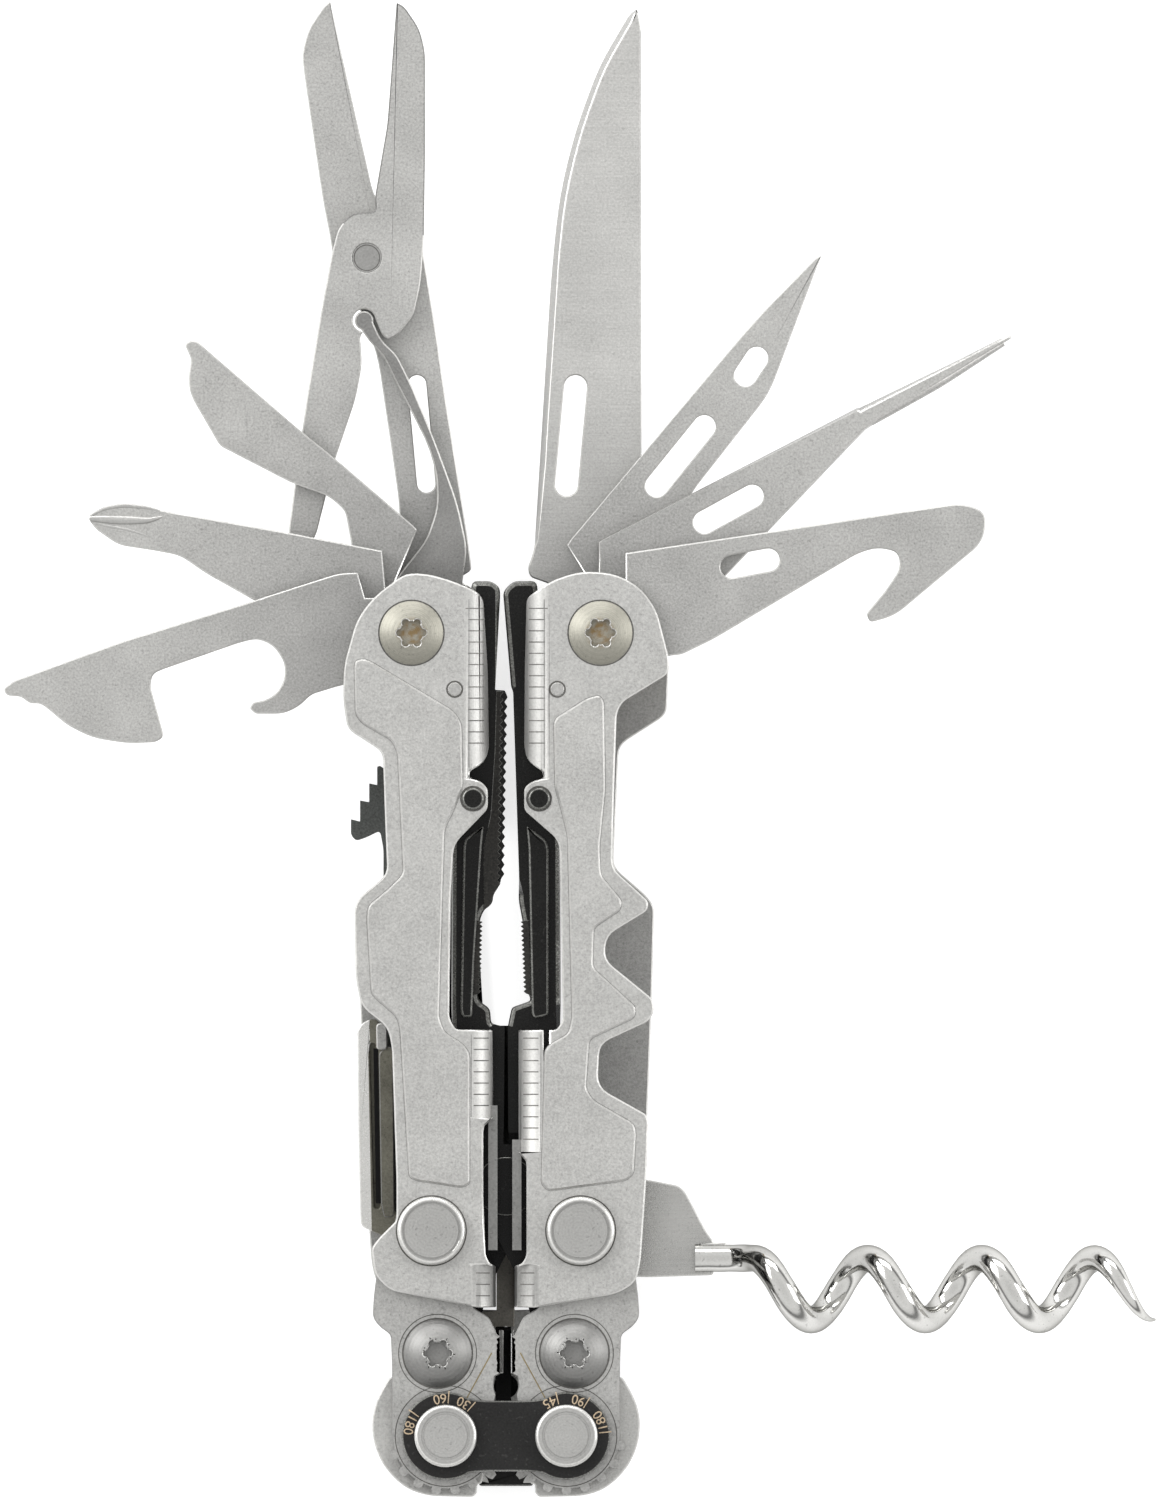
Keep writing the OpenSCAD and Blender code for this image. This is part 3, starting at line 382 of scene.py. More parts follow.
def ribbon(bm, pts, w, z0, z1, closed=False):
    """A thin flat band along a line, as a closed solid."""
    k = len(pts)
    rows = []
    for i in range(k):
        p = Vector(pts[i][:2])
        a = Vector(pts[i - 1][:2]) if (i or closed) else p
        c = Vector(pts[(i + 1) % k][:2]) if (i < k - 1 or closed) else p
        d = (c - a).normalized()
        n = Vector((-d.y, d.x)) * w / 2
        rows.append([bm.verts.new(P(q.x, q.y, z)) for q, z in ((p + n, z0), (p - n, z0), (p - n, z1), (p + n, z1))])
    m = k if closed else k - 1
    for i in range(m):
        a, c = rows[i], rows[(i + 1) % k]
        for j in range(4):
            bm.faces.new((a[j], a[(j + 1) % 4], c[(j + 1) % 4], c[j]))
    if not closed:
        bm.faces.new(rows[0])
        bm.faces.new(rows[-1])
    return bm


def ringline(bm, cx, cy, r, w, z0, z1, n=64):
    return ribbon(bm, [(cx + r * math.cos(2 * math.pi * i / n), cy + r * math.sin(2 * math.pi * i / n)) for i in range(n)], w, z0, z1, closed=True)


# ------------------------------------------------------------------ yoke
look("yoke_front", 0.14, ("yoke", "black_edge"), segments=2)
look("yoke_back", 0.14, ("yoke", "black_edge"), segments=2)


def digits(name, text, pin_x, theta, size=1.40, r=3.33):
    c = bpy.data.curves.new(name, "FONT")
    c.body = text
    c.size = size * MM
    c.extrude = 0.012 * MM
    c.align_x = "CENTER"
    c.align_y = "CENTER"
    c.space_character = 1.0
    t = bpy.data.objects.new(name + "_src", c)
    bpy.context.scene.collection.objects.link(t)
    bpy.context.view_layer.update()
    me = bpy.data.meshes.new_from_object(t.evaluated_get(bpy.context.evaluated_depsgraph_get()))
    bpy.data.objects.remove(t)
    th = math.radians(theta)
    phi = th + math.pi / 2
    # digits stand with their tops towards the pin, bent round it
    for v in me.vertices:
        x, y, z = v.co
        rr = (r * MM) - y * 0.86
        a = th + x * 0.86 / (r * MM)
        px, py = rr * math.cos(a), rr * math.sin(a)
        base = P(pin_x, 0, 18.405)
        v.co = (base.x + px, base.y + py, base.z + z)
    me.update()
    me.materials.append(M["gold"])
    o = bpy.data.objects.new(name, me)
    bpy.context.scene.collection.objects.link(o)
    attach(o, "yoke")
    return o


for nm, tx, px, th in (("dial_l30", "|30", -5.3, 59), ("dial_l60", "|60", -5.3, 96), ("dial_l180", "|180", -5.3, 160),
                       ("dial_r45", "|45", 5.3, 114), ("dial_r90", "|90", 5.3, 69), ("dial_r180", "|180", 5.3, 21)):
    digits(nm, tx, px, th)


def has_mat(nm):
    return M[nm]


def outer(cx, cy, r):
    """Only the outermost rim of a turned head, so its turned groove stays fine."""
    def pred(e):
        return rim(e) and all(math.hypot(Q(v.co)[0] - cx, Q(v.co)[1] - cy) > r for v in e.verts)
    return pred


def straight(cx):
    """Rims away from the worn teeth, which stay soft."""
    def pred(e):
        return rim(e) and any(Q(v.co)[1] > 4 or math.hypot(Q(v.co)[0] - cx, Q(v.co)[1]) > 6.2 for v in e.verts)
    return pred


def lap(cx, k):
    """Teeth worn down and rounded towards their root."""
    def pre(bm):
        for v in bm.verts:
            x, y, z = Q(v.co)
            r = math.hypot(x - cx, y)
            if 4.65 < r < 5.75 and y < 0.4 and (x - cx) * cx > -3.6 * abs(cx):
                t = (4.65 + (r - 4.65) * k) / r
                v.co = P(cx + (x - cx) * t, y * t, z)
    return pre


for s, nm in ((-1, "left"), (1, "right")):
    look("gear_pin_" + nm, 0.30, (turned("gear_pin_face_" + nm, s * 5.3, 0, 0.345), "edge"), segments=3, pred=outer(s * 5.3, 0, 2.6))
    x = s * 6.55
    look("lower_pin_" + nm, 0.34, (turned("lower_pin_face_" + nm, x, 18.0, 0.325, 0.38, 22), "edge"), segments=3, pred=outer(x, 18.0, 2.85))
    look("jaw_screw_" + nm, 0.10, (turned("jaw_screw_face_" + nm, s * 6.0, 7.25, 0.22, 0.50, 18), "edge_soft"), segments=2, angle=28)
    look("jaw_nut_" + nm, 0.10, (turned("jaw_nut_face_" + nm, s * 6.0, 7.25, 0.22, 0.50, 18), "edge_soft"), segments=2, angle=28)
    look("tool_screw_" + nm, 0.10, (turned("tool_screw_face_" + nm, s * 8.3, 70.45, 0.36, 0.52, 15, stain=(0.7, 1.5, (0.20, 0.14, 0.07)), col=(0.27, 0.262, 0.225)), "edge_soft"), segments=2, angle=28)
    look("tool_nut_" + nm, 0.2, (turned("tool_nut_face_" + nm, s * 8.3, 70.45, 0.42, 0.38, 20), "edge"), segments=2)
    look("shell_rivets_" + nm, 0.06, ("plate", "edge"))
    look("stop_pin_" + nm, 0.2, ("black", "black_edge"), segments=3)
    look("tool_washers_" + nm, 0.0, ("brass",))
    look("gear_plate_front_" + nm, 0.09, ("plate", "line_soft"), pred=straight(s * 5.3), pre=lap(s * 5.3, 0.55))
    # painted shade: the back gear plate and back shell take the darker shell steel
    look("gear_plate_back_" + nm, 0.06, ("shell_shaded", "line_soft"), pred=straight(s * 5.3), pre=lap(s * 5.3, 0.3))
    look("back_shell_" + nm, 0.12, ("shell_shaded", "edge_soft"))
    # ring stamped round the jaw screw, ring round the shell rivet and the etched index line
    bm = bmesh.new()
    ringline(bm, s * 6.0, 7.25, 3.05, 0.14, 17.08, 17.112)
    ringline(bm, s * 6.0, 7.25, 3.42, 0.08, 17.08, 17.115)
    ringline(bm, s * 5.3, 0, 4.42, 0.08, 17.08, 17.115)
    emit("plate_rings_" + nm, bm, nm + "_handle", ["line"], wn=False)
    # painted contact shadows: dark rings round the shell rivet, the stop pin, the tool screw and the lower pin
    bm = bmesh.new()
    ringline(bm, s * 4.5, 65.5, 0.66, 0.11, 18.28, 18.315, 32)
    ringline(bm, s * 2.9, 55.9, 1.04, 0.12, 18.28, 18.315, 40)
    ringline(bm, s * 8.3, 70.45, 2.86, 0.12, 18.28, 18.31, 72)
    ringline(bm, s * 6.55, 18.0, 3.06, 0.12, 18.28, 18.31, 72)
    emit("contact_shadow_rings_" + nm, bm, nm + "_handle", ["line"], wn=False)
    bm = bmesh.new()
    ribbon(bm, [(s * 1.25, 7.3), (s * 3.45, 3.3)], 0.11, 17.08, 17.112)
    emit("index_line_" + nm, bm, nm + "_handle", ["gold_line"], wn=False)
look("lower_spacer_right", 0.1, ("plate", "edge"))


def px(pts):
    """Outline points measured at 11.4 units per mm."""
    return [((x - 506) / 11.4, (1436 - y) / 11.4) + tuple(r) for x, y, *r in pts]


# rounded cover under each front gear plate; left and right lie on two levels, so that they pass each other
cover = px([(391.5, 1374), (383, 1388), (375.5, 1403), (371.6, 1421), (373, 1440), (380, 1460), (392, 1476.5), (408, 1489.5), (428, 1496), (473, 1497, 0.3),
            (476.7, 1493, 0.1), (477.2, 1484.3, 0.15), (482, 1483.3, 0.2), (483, 1472.5, 0.1)])
inner = [(-5.3 + 2.62 * math.cos(math.radians(a)), 2.62 * math.sin(math.radians(a)), 0.02) for a in range(-45, -226, -15)]
for s, nm, z0 in ((-1, "left", 14.5), (1, "right", 15.0)):
    panel("gear_cover_" + nm, [(-s * x, y, *r) for x, y, *r in cover + inner], z0, z0 + 0.4, nm + "_handle", ("disc", "edge_soft"), 0.16, 0.9, 2)
panel("gap_strip_left", [(-2.6, 9.6), (-2.6, 10.9), (-0.83, 11.0), (-0.83, 16.0), (0.72, 16.0), (0.72, 9.6)], 3.75, 4.15, "left_handle", ("deep_steel", "deep_steel"), 0.04, 0.05)
# painted shade: a near-black sheet under the lower gap, where the crimp hole lies in shade
panel("gap_strip_low_left", [(-0.9, 2.2), (-0.9, 9.58), (0.45, 9.58), (0.45, 2.2)], 3.75, 3.95, "left_handle", ("hole_shade_black", "hole_shade_black"), 0.04, 0.05)
panel("crimp_wires_left", [(-0.62, 5.5, 0.1), (-0.62, 9.3, 0.1), (-0.22, 9.3, 0.1), (-0.22, 5.5, 0.1)], 3.97, 4.3, "left_handle", ("shell", "edge_soft"), 0.08, 0.1)
panel("crimp_wires_right", [(0.5, 5.5, 0.05), (0.5, 9.3, 0.05), (0.66, 9.3, 0.05), (0.66, 5.5, 0.05)], 3.75, 4.3, "right_handle", ("shell", "edge_soft"), 0.04, 0.1)
panel("jaw_gap_strip", [(-0.95, 25.0), (-0.95, 36.0), (0.4, 36.0), (0.4, 25.0)], 4.35, 4.7, "left_jaw", ("black_matt", "black_matt"), 0.05, 0.05)


# ------------------------------------------------------------------ front shells
def front_shell(nm, s):
    node = "front_shell_" + nm
    bm = cad(node)
    # painted highlight: the rolled inner edge takes a brighter steel than the faces, for the light it catches
    xr = 3.9
    for f in bm.faces:
        c = f.calc_center_median()
        x, y, z = Q(c)
        if abs(f.normal.z) < 0.999 and f.normal.z > 0.05 and abs(x) < 4.2:
            f.material_index = 2
        if z < 17.3 and y < 30 and abs(x) < 1.6 and all(Q(v.co)[2] < 17.2 for v in f.verts):
            f.material_index = 3

    def sharp(e):
        zs = [v.co.z for v in e.verts]
        return min(zs) > 14.7 * MM and (rim(e) or any(f.material_index == 2 for f in e.link_faces)) \
            and not any(f.material_index == 3 for f in e.link_faces)
    chamfer(bm, 0.14, sharp, angle=45)
    return emit(node + "_look", bm, nm + "_handle", ["shell", "edge", "roll", "spring"], [node])


front_shell("left", -1)
front_shell("right", 1)
pad_l = [(-13.2, 68.0), (-12.5, 68.2), (-11.8, 67.9), (-4.6, 63.6), (-3.9, 62.5), (-3.8, 56.9), (-4.5, 55.1), (-5.4, 53.2), (-5.6, 47.0), (-5.9, 36.7),
         (-5.4, 35.4), (-3.8, 34.4), (-3.2, 33.6), (-3.2, 22.1), (-3.9, 21.8), (-7.8, 22.4), (-8.5, 22.7), (-9.3, 35.8), (-9.6, 36.8), (-11.8, 38.7),
         (-12.2, 45.3), (-12.1, 46.5), (-10.4, 47.9), (-9.0, 49.3), (-9.5, 59.9), (-10.0, 61.0), (-12.6, 62.5), (-13.2, 63.3), (-13.3, 67.5)]
pad_r = [(4.4, 63.0), (7.1, 64.7), (8.2, 65.0), (8.6, 64.4), (8.7, 56.7), (8.2, 51.7), (8.3, 49.2), (10.2, 46.9), (10.0, 46.1), (7.7, 44.6), (7.6, 41.1),
         (11.4, 37.6), (11.3, 36.7), (7.3, 34.8), (7.0, 30.4), (7.7, 29.4), (11.2, 27.4), (11.4, 26.6), (11.2, 23.0), (10.5, 22.4), (3.7, 21.5), (3.1, 22.1),
         (3.4, 33.8), (3.9, 34.4), (5.5, 35.3), (5.8, 36.7), (5.4, 52.7), (4.8, 55.1), (4.3, 56.9), (4.2, 62.5)]
panel("emboss_left", pad_l, 18.2, 18.46, "left_handle", ("shell", "edge_soft"), 0.15, 0.5)
panel("emboss_right", pad_r, 18.2, 18.46, "right_handle", ("shell", "edge_soft"), 0.15, 0.5)
for nm, pad in (("left", pad_l), ("right", pad_r)):
    # painted shade: a dark line round each embossed pad, at its step
    bm = bmesh.new()
    ribbon(bm, corner(pad, 0.5), 0.13, 18.28, 18.312, closed=True)
    emit("emboss_crease_shade_" + nm, bm, nm + "_handle", ["line_soft"], wn=False)


def tick(bm, s, xe, y, t0, t1, w=0.10):
    cx, cz, r = xe + 2.2, 16.1, 2.2
    rows = []
    for i in range(7):
        t = math.radians(t0 + (t1 - t0) * i / 6)
        row = []
        for rr, dy in ((r - 0.05, -w / 2), (r - 0.05, w / 2), (r + 0.012, w / 2), (r + 0.012, -w / 2)):
            row.append(bm.verts.new(P(s * (cx - rr * math.cos(t)), y + dy, cz + rr * math.sin(t))))
        rows.append(row)
    for a, c in zip(rows, rows[1:]):
        for j in range(4):
            bm.faces.new((a[j], a[(j + 1) % 4], c[(j + 1) % 4], c[j]))
    bm.faces.new(rows[0])
    bm.faces.new(rows[-1])


for nm, s, xe, lo0 in (("left", -1, 1.5, 28.6), ("right", 1, 1.6, 25.6)):
    bm = bmesh.new()
    y = 72.6
    while y > 60.2:
        tick(bm, s, xe, y, 36, 80 if round((72.6 - y) * 10) % 50 else 86)
        y -= 0.985
    y = 34.9
    while y > lo0:
        tick(bm, s, 1.1, y, 36, 78)
        y -= 0.985
    for y in (14.3, 13.3, 12.3):
        tick(bm, s, 0.9 if s < 0 else 0.75, y, 40, 78)
    emit("ruler_" + nm, bm, nm + "_handle", ["tick"], wn=False)
    # painted shade: dark lines along the bends of the rolled edges
    bm = bmesh.new()
    ribbon(bm, [(s * (xe + 1.75), 58.6), (s * (xe + 1.75), 73.4)], 0.07, 18.17, 18.28)
    ribbon(bm, [(s * 3.05, lo0 - 0.6), (s * 3.05, 35.2)], 0.06, 18.2, 18.312)
    emit("painted_shade_line_" + nm, bm, nm + "_handle", ["line_soft"], wn=False)

# ------------------------------------------------------------------ jaws
def jaw_pred(e):
    return rim(e)


# painted highlight: the jaws' chamfers and ribs carry the light black_edge colour
look("jaw_left", 0.42, ("black", "black_edge"), pred=lambda e: rim(e) and all(abs(f.normal.z) < 0.6 or f.normal.z > 0 for f in e.link_faces)
     and Q(e.verts[0].co)[1] > 36 and min(Q(v.co)[0] for v in e.verts) > -6 and not (Q(e.verts[0].co)[0] > -1.2 and 48 < Q(e.verts[0].co)[1] < 65.6), segments=2)
look("jaw_right", 0.42, ("black", "black_edge"), pred=lambda e: rim(e) and Q(e.verts[0].co)[1] > 36
     and not (Q(e.verts[0].co)[0] < 1.4 and 48 < Q(e.verts[0].co)[1] < 65.6), segments=2)
look("jaw_pivot", 0.12, ("black", "black_edge"), segments=2)
jl = [(-3.6, 52.4), (-1.9, 53.6), (-2.1, 51.8), (-2.75, 41.8), (-2.95, 36.7), (-3.85, 36.7), (-4.0, 37.4), (-3.75, 51.6)]
jr = [(1.75, 53.6), (3.5, 52.3), (3.75, 51.6), (3.75, 36.9), (2.5, 36.6), (2.25, 37.0), (1.95, 51.6)]
panel("jaw_rib_left", jl, 14.0, 14.75, "left_jaw", ("black", "black_edge"), 0.20, 0.3, 2)
panel("jaw_rib_right", jr, 14.0, 14.75, "right_jaw", ("black", "black_edge"), 0.20, 0.3, 2)
grip = [(-0.85, 65.35, 0.05), (-0.15, 65.3, 0.05)]
teeth = []
for i in range(27):
    y = 64.9 - i * 0.62
    bx = -0.18 - 0.30 * i / 27
    teeth += [(bx - 0.30, y, 0.05), (bx, y - 0.31, 0.08)]
grip += teeth + [(-1.15, 47.4, 0.3), (-1.3, 46.6, 0.2), (-1.95, 46.1, 0.2), (-2.0, 51.5, 0.3), (-1.35, 54.5, 0.3), (-1.0, 60.0)]
panel("jaw_grip_left", grip, 13.9, 14.42, "left_jaw", ("black_matt", "black_edge"), 0.06, 0.1, 1, 2)

for nm, s, x0, x1 in (("left", -1, 2.44, 2.28), ("right", 1, 1.78, 1.52)):
    # wire-cutting serrations low on the inner sides
    pts = []
    for i in range(16):
        t = i / 15
        bx, y = x0 + (x1 - x0) * t, 38.9 + 6.1 * t
        pts += [(s * bx, y - 0.1, 0.04), (s * (bx - 0.26), y + 0.1, 0.06)]
    pts += [(s * (x1 + 0.5), 45.3, 0.1), (s * (x0 + 0.5), 38.6, 0.1)]
    panel("jaw_cutter_" + nm, pts, 13.6, 14.3, nm + "_jaw", ("black_matt", "black_edge"), 0.05, 0.1, 1, 2)


def clip(*lines):
    """Takes away what lies on the right of every line given (point to point) and closes the walls."""
    def pre(bm):
        cut = []
        for a, b in lines:
            n = Vector((b[1] - a[1], a[0] - b[0], 0)).normalized()
            p = P(a[0], a[1])
            cut.append((p, n))
            bmesh.ops.bisect_plane(bm, geom=list(bm.verts) + list(bm.edges) + list(bm.faces), plane_co=p, plane_no=n, dist=1e-6)
        gone = [f for f in bm.faces if all((f.calc_center_median() - p).dot(n) > 1e-6 for p, n in cut)]
        bmesh.ops.delete(bm, geom=gone, context="FACES")
        at = {}
        for v in bm.verts:
            if any(len(e.link_faces) == 1 for e in v.link_edges):
                at.setdefault((round(v.co.x * 1e5), round(v.co.y * 1e5)), []).append(v)
        for e in [e for e in bm.edges if len(e.link_faces) == 1 and abs(e.verts[0].co.z - e.verts[1].co.z) < 1e-7]:
            a, b = e.verts
            la, lb = (at[(round(v.co.x * 1e5), round(v.co.y * 1e5))] for v in (a, b))
            da = [v for v in la if v.co.z < a.co.z - 1e-5]
            db = [v for v in lb if v.co.z < b.co.z - 1e-5]
            if da and db:
                bm.faces.new((a, b, max(db, key=lambda v: v.co.z), max(da, key=lambda v: v.co.z)))
        bmesh.ops.recalc_face_normals(bm, faces=bm.faces)
        bm.normal_update()
    return pre


# ------------------------------------------------------------------ tools on the right
def rel(x, y, o):
    return x - o[0], y - o[1]


def knife_grind(x, y):
    u, v = rel(x, y, R0)
    if v < 7.6 or (v < 24 and u > -4.6) or u > 3.1:
        return 0
    return 0.52 * min(1, (v - 7.6) / 1.5) * max(0.15, min(1, (3.4 - u) / 1.2))


look("knife", 0.12, ("knife", "edge_soft"), grind=(11.7, knife_grind))


def awl_grind(x, y):
    u, v = rel(x, y, R0)
    if v < 9 or u < -4:
        return 0
    s = (u * 0.64 + v * 0.77)
    side = (-0.77 * u + 0.64 * v)
    if side < 5.2 - (s - 12) * 0.02 or s < 12:
        return 0.0 if s < 37 else 0.3 * min(1, (s - 37) / 3)
    return 0.35


look("awl", 0.09, ("blade_r", "edge_soft"), pre=clip(((5.4, 78.1), (6.4, 76.5)), ((20, 74.4), (0, 74.4))))


def flute_grind(x, y):
    u, v = rel(x, y, R0)
    dx, dy = 36.0 - 22.45, 25.9 - 18.5
    ln = math.hypot(dx, dy)
    s = ((u - 22.45) * dx + (v - 18.5) * dy) / ln
    if s < 0.3:
        return 0
    hw = 1.0 * (1 - s / ln) + 0.12
    return 0.45 * hw * min(1, s / 1.2)


look("flute_driver", 0.10, ("blade_r", "edge_soft"), grind=(14.9, flute_grind), pre=clip(((8.14, 78.6), (8.14, 74)), ((20, 74.4), (0, 74.4))))


def hook_grind(x, y):
    u, v = rel(x, y, R0)
    return 0.42 if (22.2 < u < 26.9 and 0.6 < v < 7.9 and (u < 26.6)) and not (u > 26.5 and v < 3) else 0


look("hook_cutter", 0.12, ("hook", "edge_soft"), pre=clip(((10.5, 78.6), (10.5, 74)), ((20, 74.4), (0, 74.4))))

def ridge(bm, pts, w0, w1, w2, z, h, n=28, sides=8):
    """A low rounded rib along a line; its half width goes w0, w1, w2 from one end to the other."""
    p = [Vector(q) for q in pts]
    seg = [(b - a).length for a, b in zip(p, p[1:])]
    tot = sum(seg)

    def at(d):
        for i, l in enumerate(seg):
            if d <= l or i == len(seg) - 1:
                return p[i].lerp(p[i + 1], max(0, min(1, d / l)))
            d -= l
    c = [at(tot * i / n) for i in range(n + 1)]
    for _ in range(3):
        c = [c[0]] + [(c[i - 1] + c[i] * 2 + c[i + 1]) / 4 for i in range(1, n)] + [c[-1]]
    rows = []
    for i in range(n + 1):
        t = i / n
        w = (w0 * (1 - t) ** 2 + w1 * 4 * t * (1 - t) * 0.5 + w2 * t * t)
        d = (c[min(i + 1, n)] - c[max(i - 1, 0)]).normalized()
        nn = Vector((-d.y, d.x))
        row = []
        for k in range(sides + 1):
            a = math.pi * k / sides
            q = c[i] + nn * (w * math.cos(a))
            row.append(bm.verts.new(P(q.x, q.y, z + h * math.sin(a) * min(1, w / 0.25))))
        rows.append(row)
    for a, b in zip(rows, rows[1:]):
        for k in range(sides):
            bm.faces.new((a[k], a[k + 1], b[k + 1], b[k]))
        bm.faces.new((a[sides], a[0], b[0], b[sides]))
    bm.faces.new(rows[0])
    bm.faces.new(rows[-1])
    return bm


# ground rod of the long fine driver: two rounded flats with a groove between them
for k, (dx, dy, z) in enumerate(((-0.25, 0.42, 15.2), (0.22, -0.38, 15.2))):
    bm = bmesh.new()
    ridge(bm, [(x + dx * w, y + dy * w) for (x, y), w in zip(px([(868, 417), (938, 380), (1003, 342)]), (1, 0.8, 0.35))], 0.42, 0.40, 0.22, z, 0.4)
    emit("flute_rod_%d" % k, bm, "flute_driver_blade", ["blade_r"], wn=False, angle=60)


# ------------------------------------------------------------------ corkscrew
look("corkscrew_base", 0.14, ("cork_plate", "edge"), segments=2)
CP, CPK, CR, CW, CX0, CX1 = 10.0, 21.75, 2.7, 1.2, 16.6, 56.9
CB = 2.35 / math.sin(math.atan(CR * 2 * math.pi / CP))


def cork_c(x):
    a = (max(x, CPK) - CPK) / CP * 2 * math.pi
    q = min(max(x - CPK + 2.35, 0), 2.35)
    z = 6.4 + CR * math.sin(a) if x > CPK else 6.4 + math.sqrt(CB * CB - 2.35 ** 2) - math.sqrt(CB * CB - q * q)
    return Vector((x, 12.9 + CR * math.cos(a), z))


bm = bmesh.new()
rows, steps, sides = [], 420, 24
for i in range(steps + 1):
    t = i / steps
    x = CX0 + (CX1 - CX0) * t
    c = cork_c(x)
    d = (cork_c(x + 0.05) - cork_c(x - 0.05)).normalized()
    n = Vector((0, 1, 0)) if x < CPK else Vector((0, c.y - 12.9, c.z - 6.4)).normalized()
    u = (n - d * n.dot(d)).normalized()
    v = d.cross(u)
    w = CW if t < 0.86 else CW * (1 - 0.9 * ((t - 0.86) / 0.14) ** 1.3)
    w *= 1 + 0.012 * math.sin(x * 3.1)
    rows.append([bm.verts.new(P(*(c + (u * math.cos(2 * math.pi * k / sides) + v * math.sin(2 * math.pi * k / sides)) * w))) for k in range(sides)])
for a, c in zip(rows, rows[1:]):
    for k in range(sides):
        bm.faces.new((a[k], a[(k + 1) % sides], c[(k + 1) % sides], c[k]))
bm.faces.new(rows[0])
bm.faces.new(rows[-1])
emit("corkscrew_worm_look", bm, "corkscrew", ["chrome"], ["corkscrew_worm"], wn=False, angle=50)

# ------------------------------------------------------------------ tools on the left
look("scissors_tang", 0.10, ("blade_l", "edge_soft"))
def lever_face(bm):
    """The hollow-ground inner bevel of the front blade: the part of the face near its inner edge."""
    a, b = P(*px([(299.5, 8)])[0]), P(*px([(290, 175)])[0])
    n = Vector((a.y - b.y, b.x - a.x, 0)).normalized()
    fs = [f for f in bm.faces if f.normal.z > 0.95 and Q(f.calc_center_median())[1] > 88]
    fs = fs + [g for f in fs for e in f.edges for g in e.link_faces if g not in fs]
    fs = list(set(fs))
    es, vs = {e for f in fs for e in f.edges}, {v for f in fs for v in f.verts}
    bmesh.ops.bisect_plane(bm, geom=list(vs) + list(es) + fs, plane_co=a, plane_no=n, dist=1e-6)
    for f in bm.faces:
        c = f.calc_center_median()
        x, y, z = Q(c)
        if f.normal.z > 0.3 and y > 106.5 and (c - a).dot(n) > 0:
            f.material_index = 2


look("scissors_lever", 0.12, ("blade_l", "edge_soft", "bevel"), post=lever_face)
look("scissors_rivet", 0.12, (turned("scissors_rivet_face", -12.2, 103.35, 0.24, 0.40, 16), "line"), segments=2)
bm = bmesh.new()
ringline(bm, -12.2, 103.35, 1.21, 0.10, 12.3, 12.365, 48)
ringline(bm, -12.2, 103.35, 0.74, 0.10, 12.3, 12.365, 40)
emit("scissors_rivet_ring", bm, BODY["scissors_rivet"], ["line_soft"], wn=False)
look("scissors_spring", 0.13, ("spring", "edge"))
look("flat_driver", 0.12, ("blade_l", "edge_soft"), pre=clip(((-8.6, 77.6), (-7.8, 79.5)), ((0, 74.0), (-20, 74.0))))
look("cross_driver", 0.12, ("blade_l", "edge_soft"), pre=clip(((-10.8, 76.7), (-11.0, 78.9)), ((0, 74.0), (-20, 74.0))))
look("bottle_opener", 0.12, ("blade_l", "edge_soft"), pre=clip(((-12.7, 74.6), (-13.35, 76.9)), ((0, 73.5), (-20, 73.5))))
look("saw_hook", 0.0, ("charcoal",))
def strip(bm):
    # painted shade: faces right of x = -11.9 take the dark steel
    for f in bm.faces:
        x, y, z = Q(f.calc_center_median())
        if x > -11.9:
            f.material_index = 2


def split(bm):
    bmesh.ops.bisect_plane(bm, geom=list(bm.verts) + list(bm.edges) + list(bm.faces), plane_co=P(-11.9, 30), plane_no=Vector((1, 0.01, 0)).normalized(), dist=1e-6)


look("lower_lever", 0.16, ("polish", "edge", "shaded_steel"), segments=2, pre=split, post=strip)


# ridges of the ground cross bit
bm = bmesh.new()
ridge(bm, px([(90, 518.5), (118, 520), (148, 520.5), (163, 516.5)]), 0.25, 0.6, 0.1, 15.55, 0.20)
ridge(bm, px([(90, 516), (104, 508.5), (123, 505.3), (146, 507.3), (160, 511), (163, 516)]), 0.12, 0.28, 0.08, 15.55, 0.15)
ridge(bm, px([(91, 522), (108, 526.5), (127, 529.5), (148, 536), (157, 547)]), 0.1, 0.22, 0.06, 15.55, 0.13)
emit("cross_bit_ridges", bm, "cross_driver_blade", ["ground"], wn=False, angle=60)
# groove and inner leaf beside the bright edge of the folded lower tool, painted near-black and in dark steel as painted
# shade
bm = bmesh.new()
ribbon(bm, [(-11.42, 34.0), (-11.2, 20.4)], 0.42, 7.9, 8.03)
emit("lower_lever_groove", bm, "lever_blade", ["hole_shade_black"], wn=False)
panel("lower_lever_spring_end", [(-11.35, 33.9, 0.3), (-11.4, 36.2, 0.4), (-10.45, 36.2, 0.4), (-10.4, 33.9, 0.3)], 8.12, 8.35, "lever_blade", ("plate", "edge_soft"), 0.1, 0.3)
panel("lower_lever_leaf", [(-11.15, 33.6, 0.3), (-10.4, 34.2, 0.3), (-9.9, 34.0, 0.2), (-9.8, 19.3, 0.3), (-10.7, 19.1, 0.4), (-10.95, 20.4)], 7.9, 8.12, "lever_blade",
      ("shaded_steel", "spring"), 0.08, 0.2)


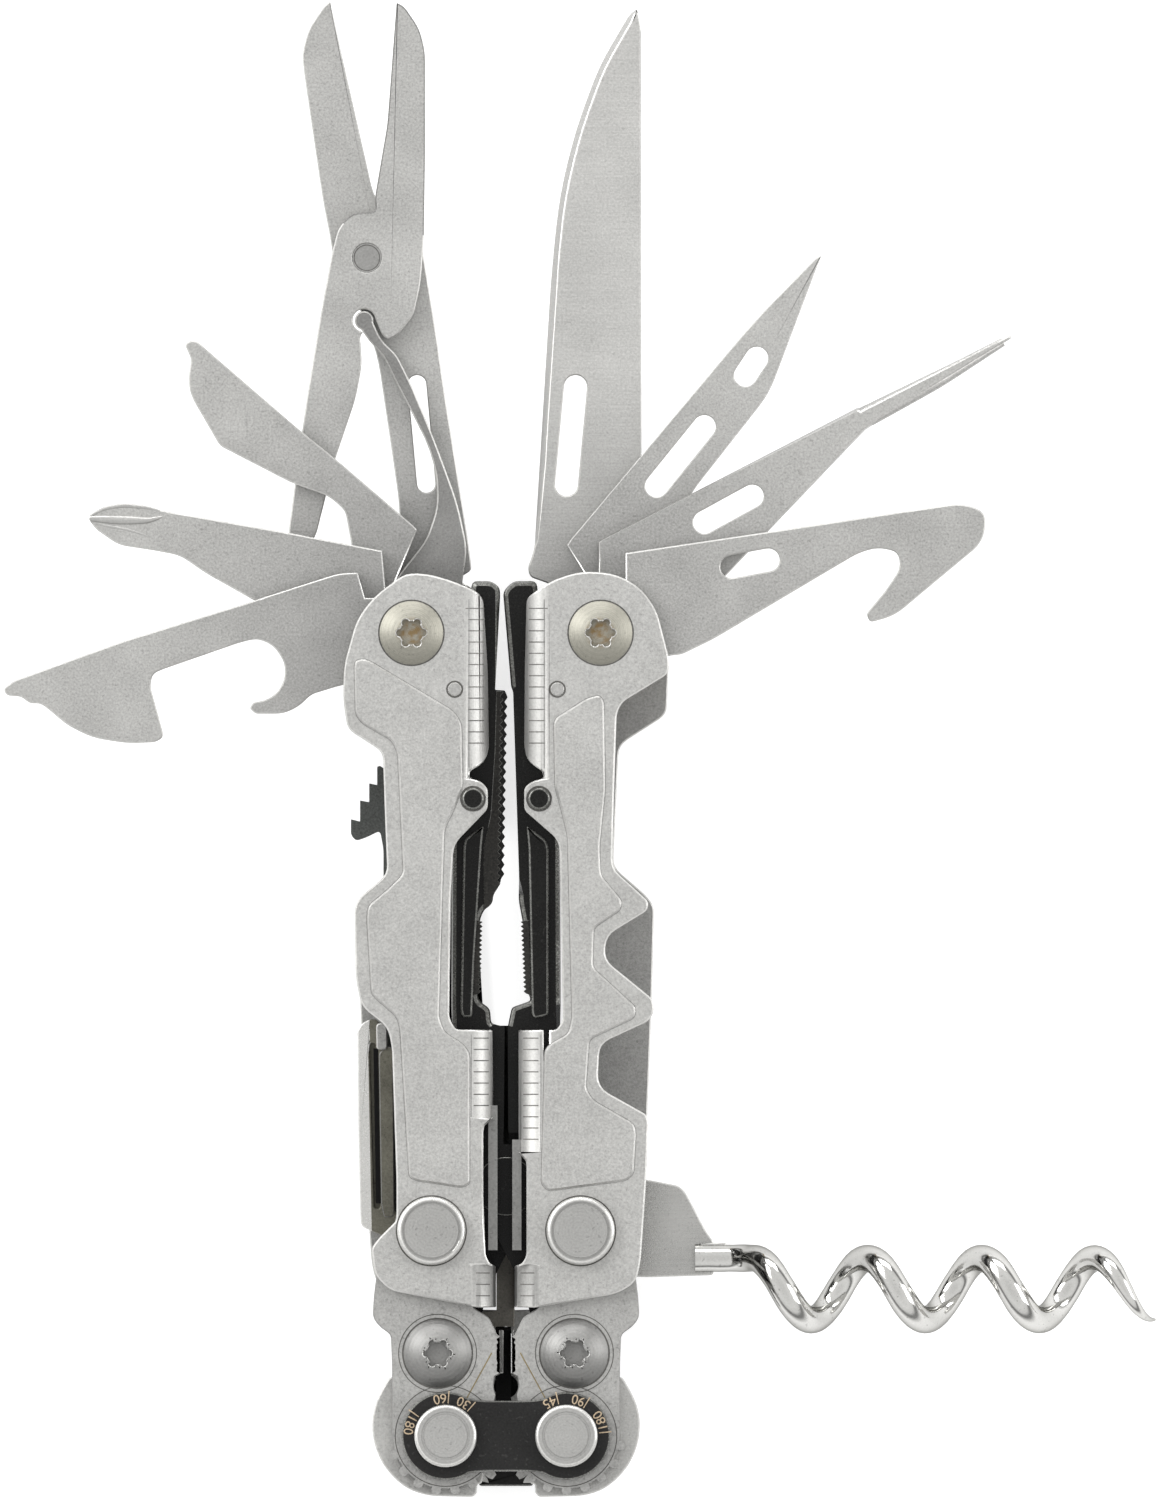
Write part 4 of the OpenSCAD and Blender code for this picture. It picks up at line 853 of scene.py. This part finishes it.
# ------------------------------------------------------------------ floor, light, camera
fm = bpy.data.materials.new("floor_white")
fm.use_nodes = True
nt = fm.node_tree
nt.nodes.clear()
o_, d_, e_, a_ = (nt.nodes.new(t) for t in ("ShaderNodeOutputMaterial", "ShaderNodeBsdfDiffuse", "ShaderNodeEmission", "ShaderNodeAddShader"))
nf = nt.nodes.new("ShaderNodeTexNoise")
nf.inputs["Scale"].default_value = 40
rmp = nt.nodes.new("ShaderNodeMapRange")
rmp.inputs["To Min"].default_value, rmp.inputs["To Max"].default_value = 0.72, 0.74
nt.links.new(nf.outputs["Fac"], rmp.inputs["Value"])
d_.inputs[0].default_value = (0.45, 0.45, 0.45, 1)
nt.links.new(rmp.outputs[0], e_.inputs[1])
nt.links.new(d_.outputs[0], a_.inputs[0])
nt.links.new(e_.outputs[0], a_.inputs[1])
nt.links.new(a_.outputs[0], o_.inputs[0])
bm = bmesh.new()
s = 1.5
bm.faces.new([bm.verts.new((x * s, y * s, -0.00005)) for x, y in ((-1, -1), (1, -1), (1, 1), (-1, 1))])
me = bpy.data.meshes.new("floor")
bm.to_mesh(me)
bm.free()
me.materials.append(fm)
floor = bpy.data.objects.new("floor", me)
bpy.context.scene.collection.objects.link(floor)

w = bpy.data.worlds.new("studio")
bpy.context.scene.world = w
w.use_nodes = True
nt = w.node_tree
nt.nodes.clear()
o_, b_ = nt.nodes.new("ShaderNodeOutputWorld"), nt.nodes.new("ShaderNodeBackground")
tc, sx, cr = nt.nodes.new("ShaderNodeTexCoord"), nt.nodes.new("ShaderNodeSeparateXYZ"), nt.nodes.new("ShaderNodeValToRGB")
nt.links.new(tc.outputs["Generated"], sx.inputs[0])
nt.links.new(sx.outputs["Z"], cr.inputs[0])
nt.links.new(cr.outputs[0], b_.inputs[0])
nt.links.new(b_.outputs[0], o_.inputs[0])
b_.inputs[1].default_value = 1.6
ramp = [(0.0, 0.75), (0.10, 0.55), (0.22, 0.20), (0.34, 0.22), (0.46, 0.60), (0.70, 0.70), (0.88, 0.66), (1.0, 0.60)]
el = cr.color_ramp.elements
while len(el) < len(ramp):
    el.new(0.5)
for e, (p, v) in zip(el, ramp):
    e.position = p
    e.color = (v, v, v * 0.995, 1)


def area(name, loc, size, power, col=(1, 1, 1)):
    l = bpy.data.lights.new(name, "AREA")
    l.shape = "RECTANGLE"
    l.size, l.size_y = size
    l.energy = power
    l.color = col
    o = bpy.data.objects.new(name, l)
    bpy.context.scene.collection.objects.link(o)
    o.location = loc
    o.rotation_mode = "QUATERNION"
    o.rotation_quaternion = (-Vector(loc)).to_track_quat("-Z", "Y")
    return o


area("key_left", (-0.55, 0.30, 0.42), (0.5, 0.35), 5.0)
area("fill_right", (0.6, 0.1, 0.30), (0.4, 0.3), 2.5)
area("top", (0.0, 0.65, 0.30), (0.6, 0.25), 3.0)

cam = bpy.data.cameras.new("camera")
cam.type = "ORTHO"
cam.ortho_scale = 1500 / 11.4 * MM
cam.clip_start, cam.clip_end = 0.01, 5
co = bpy.data.objects.new("camera", cam)
bpy.context.scene.collection.objects.link(co)
co.location = P(6.4035, 60.175, 600)
co.rotation_euler = (0, 0, 0)
bpy.context.scene.camera = co
bpy.context.scene.view_settings.view_transform = "Standard"
bpy.context.scene.view_settings.look = "None"
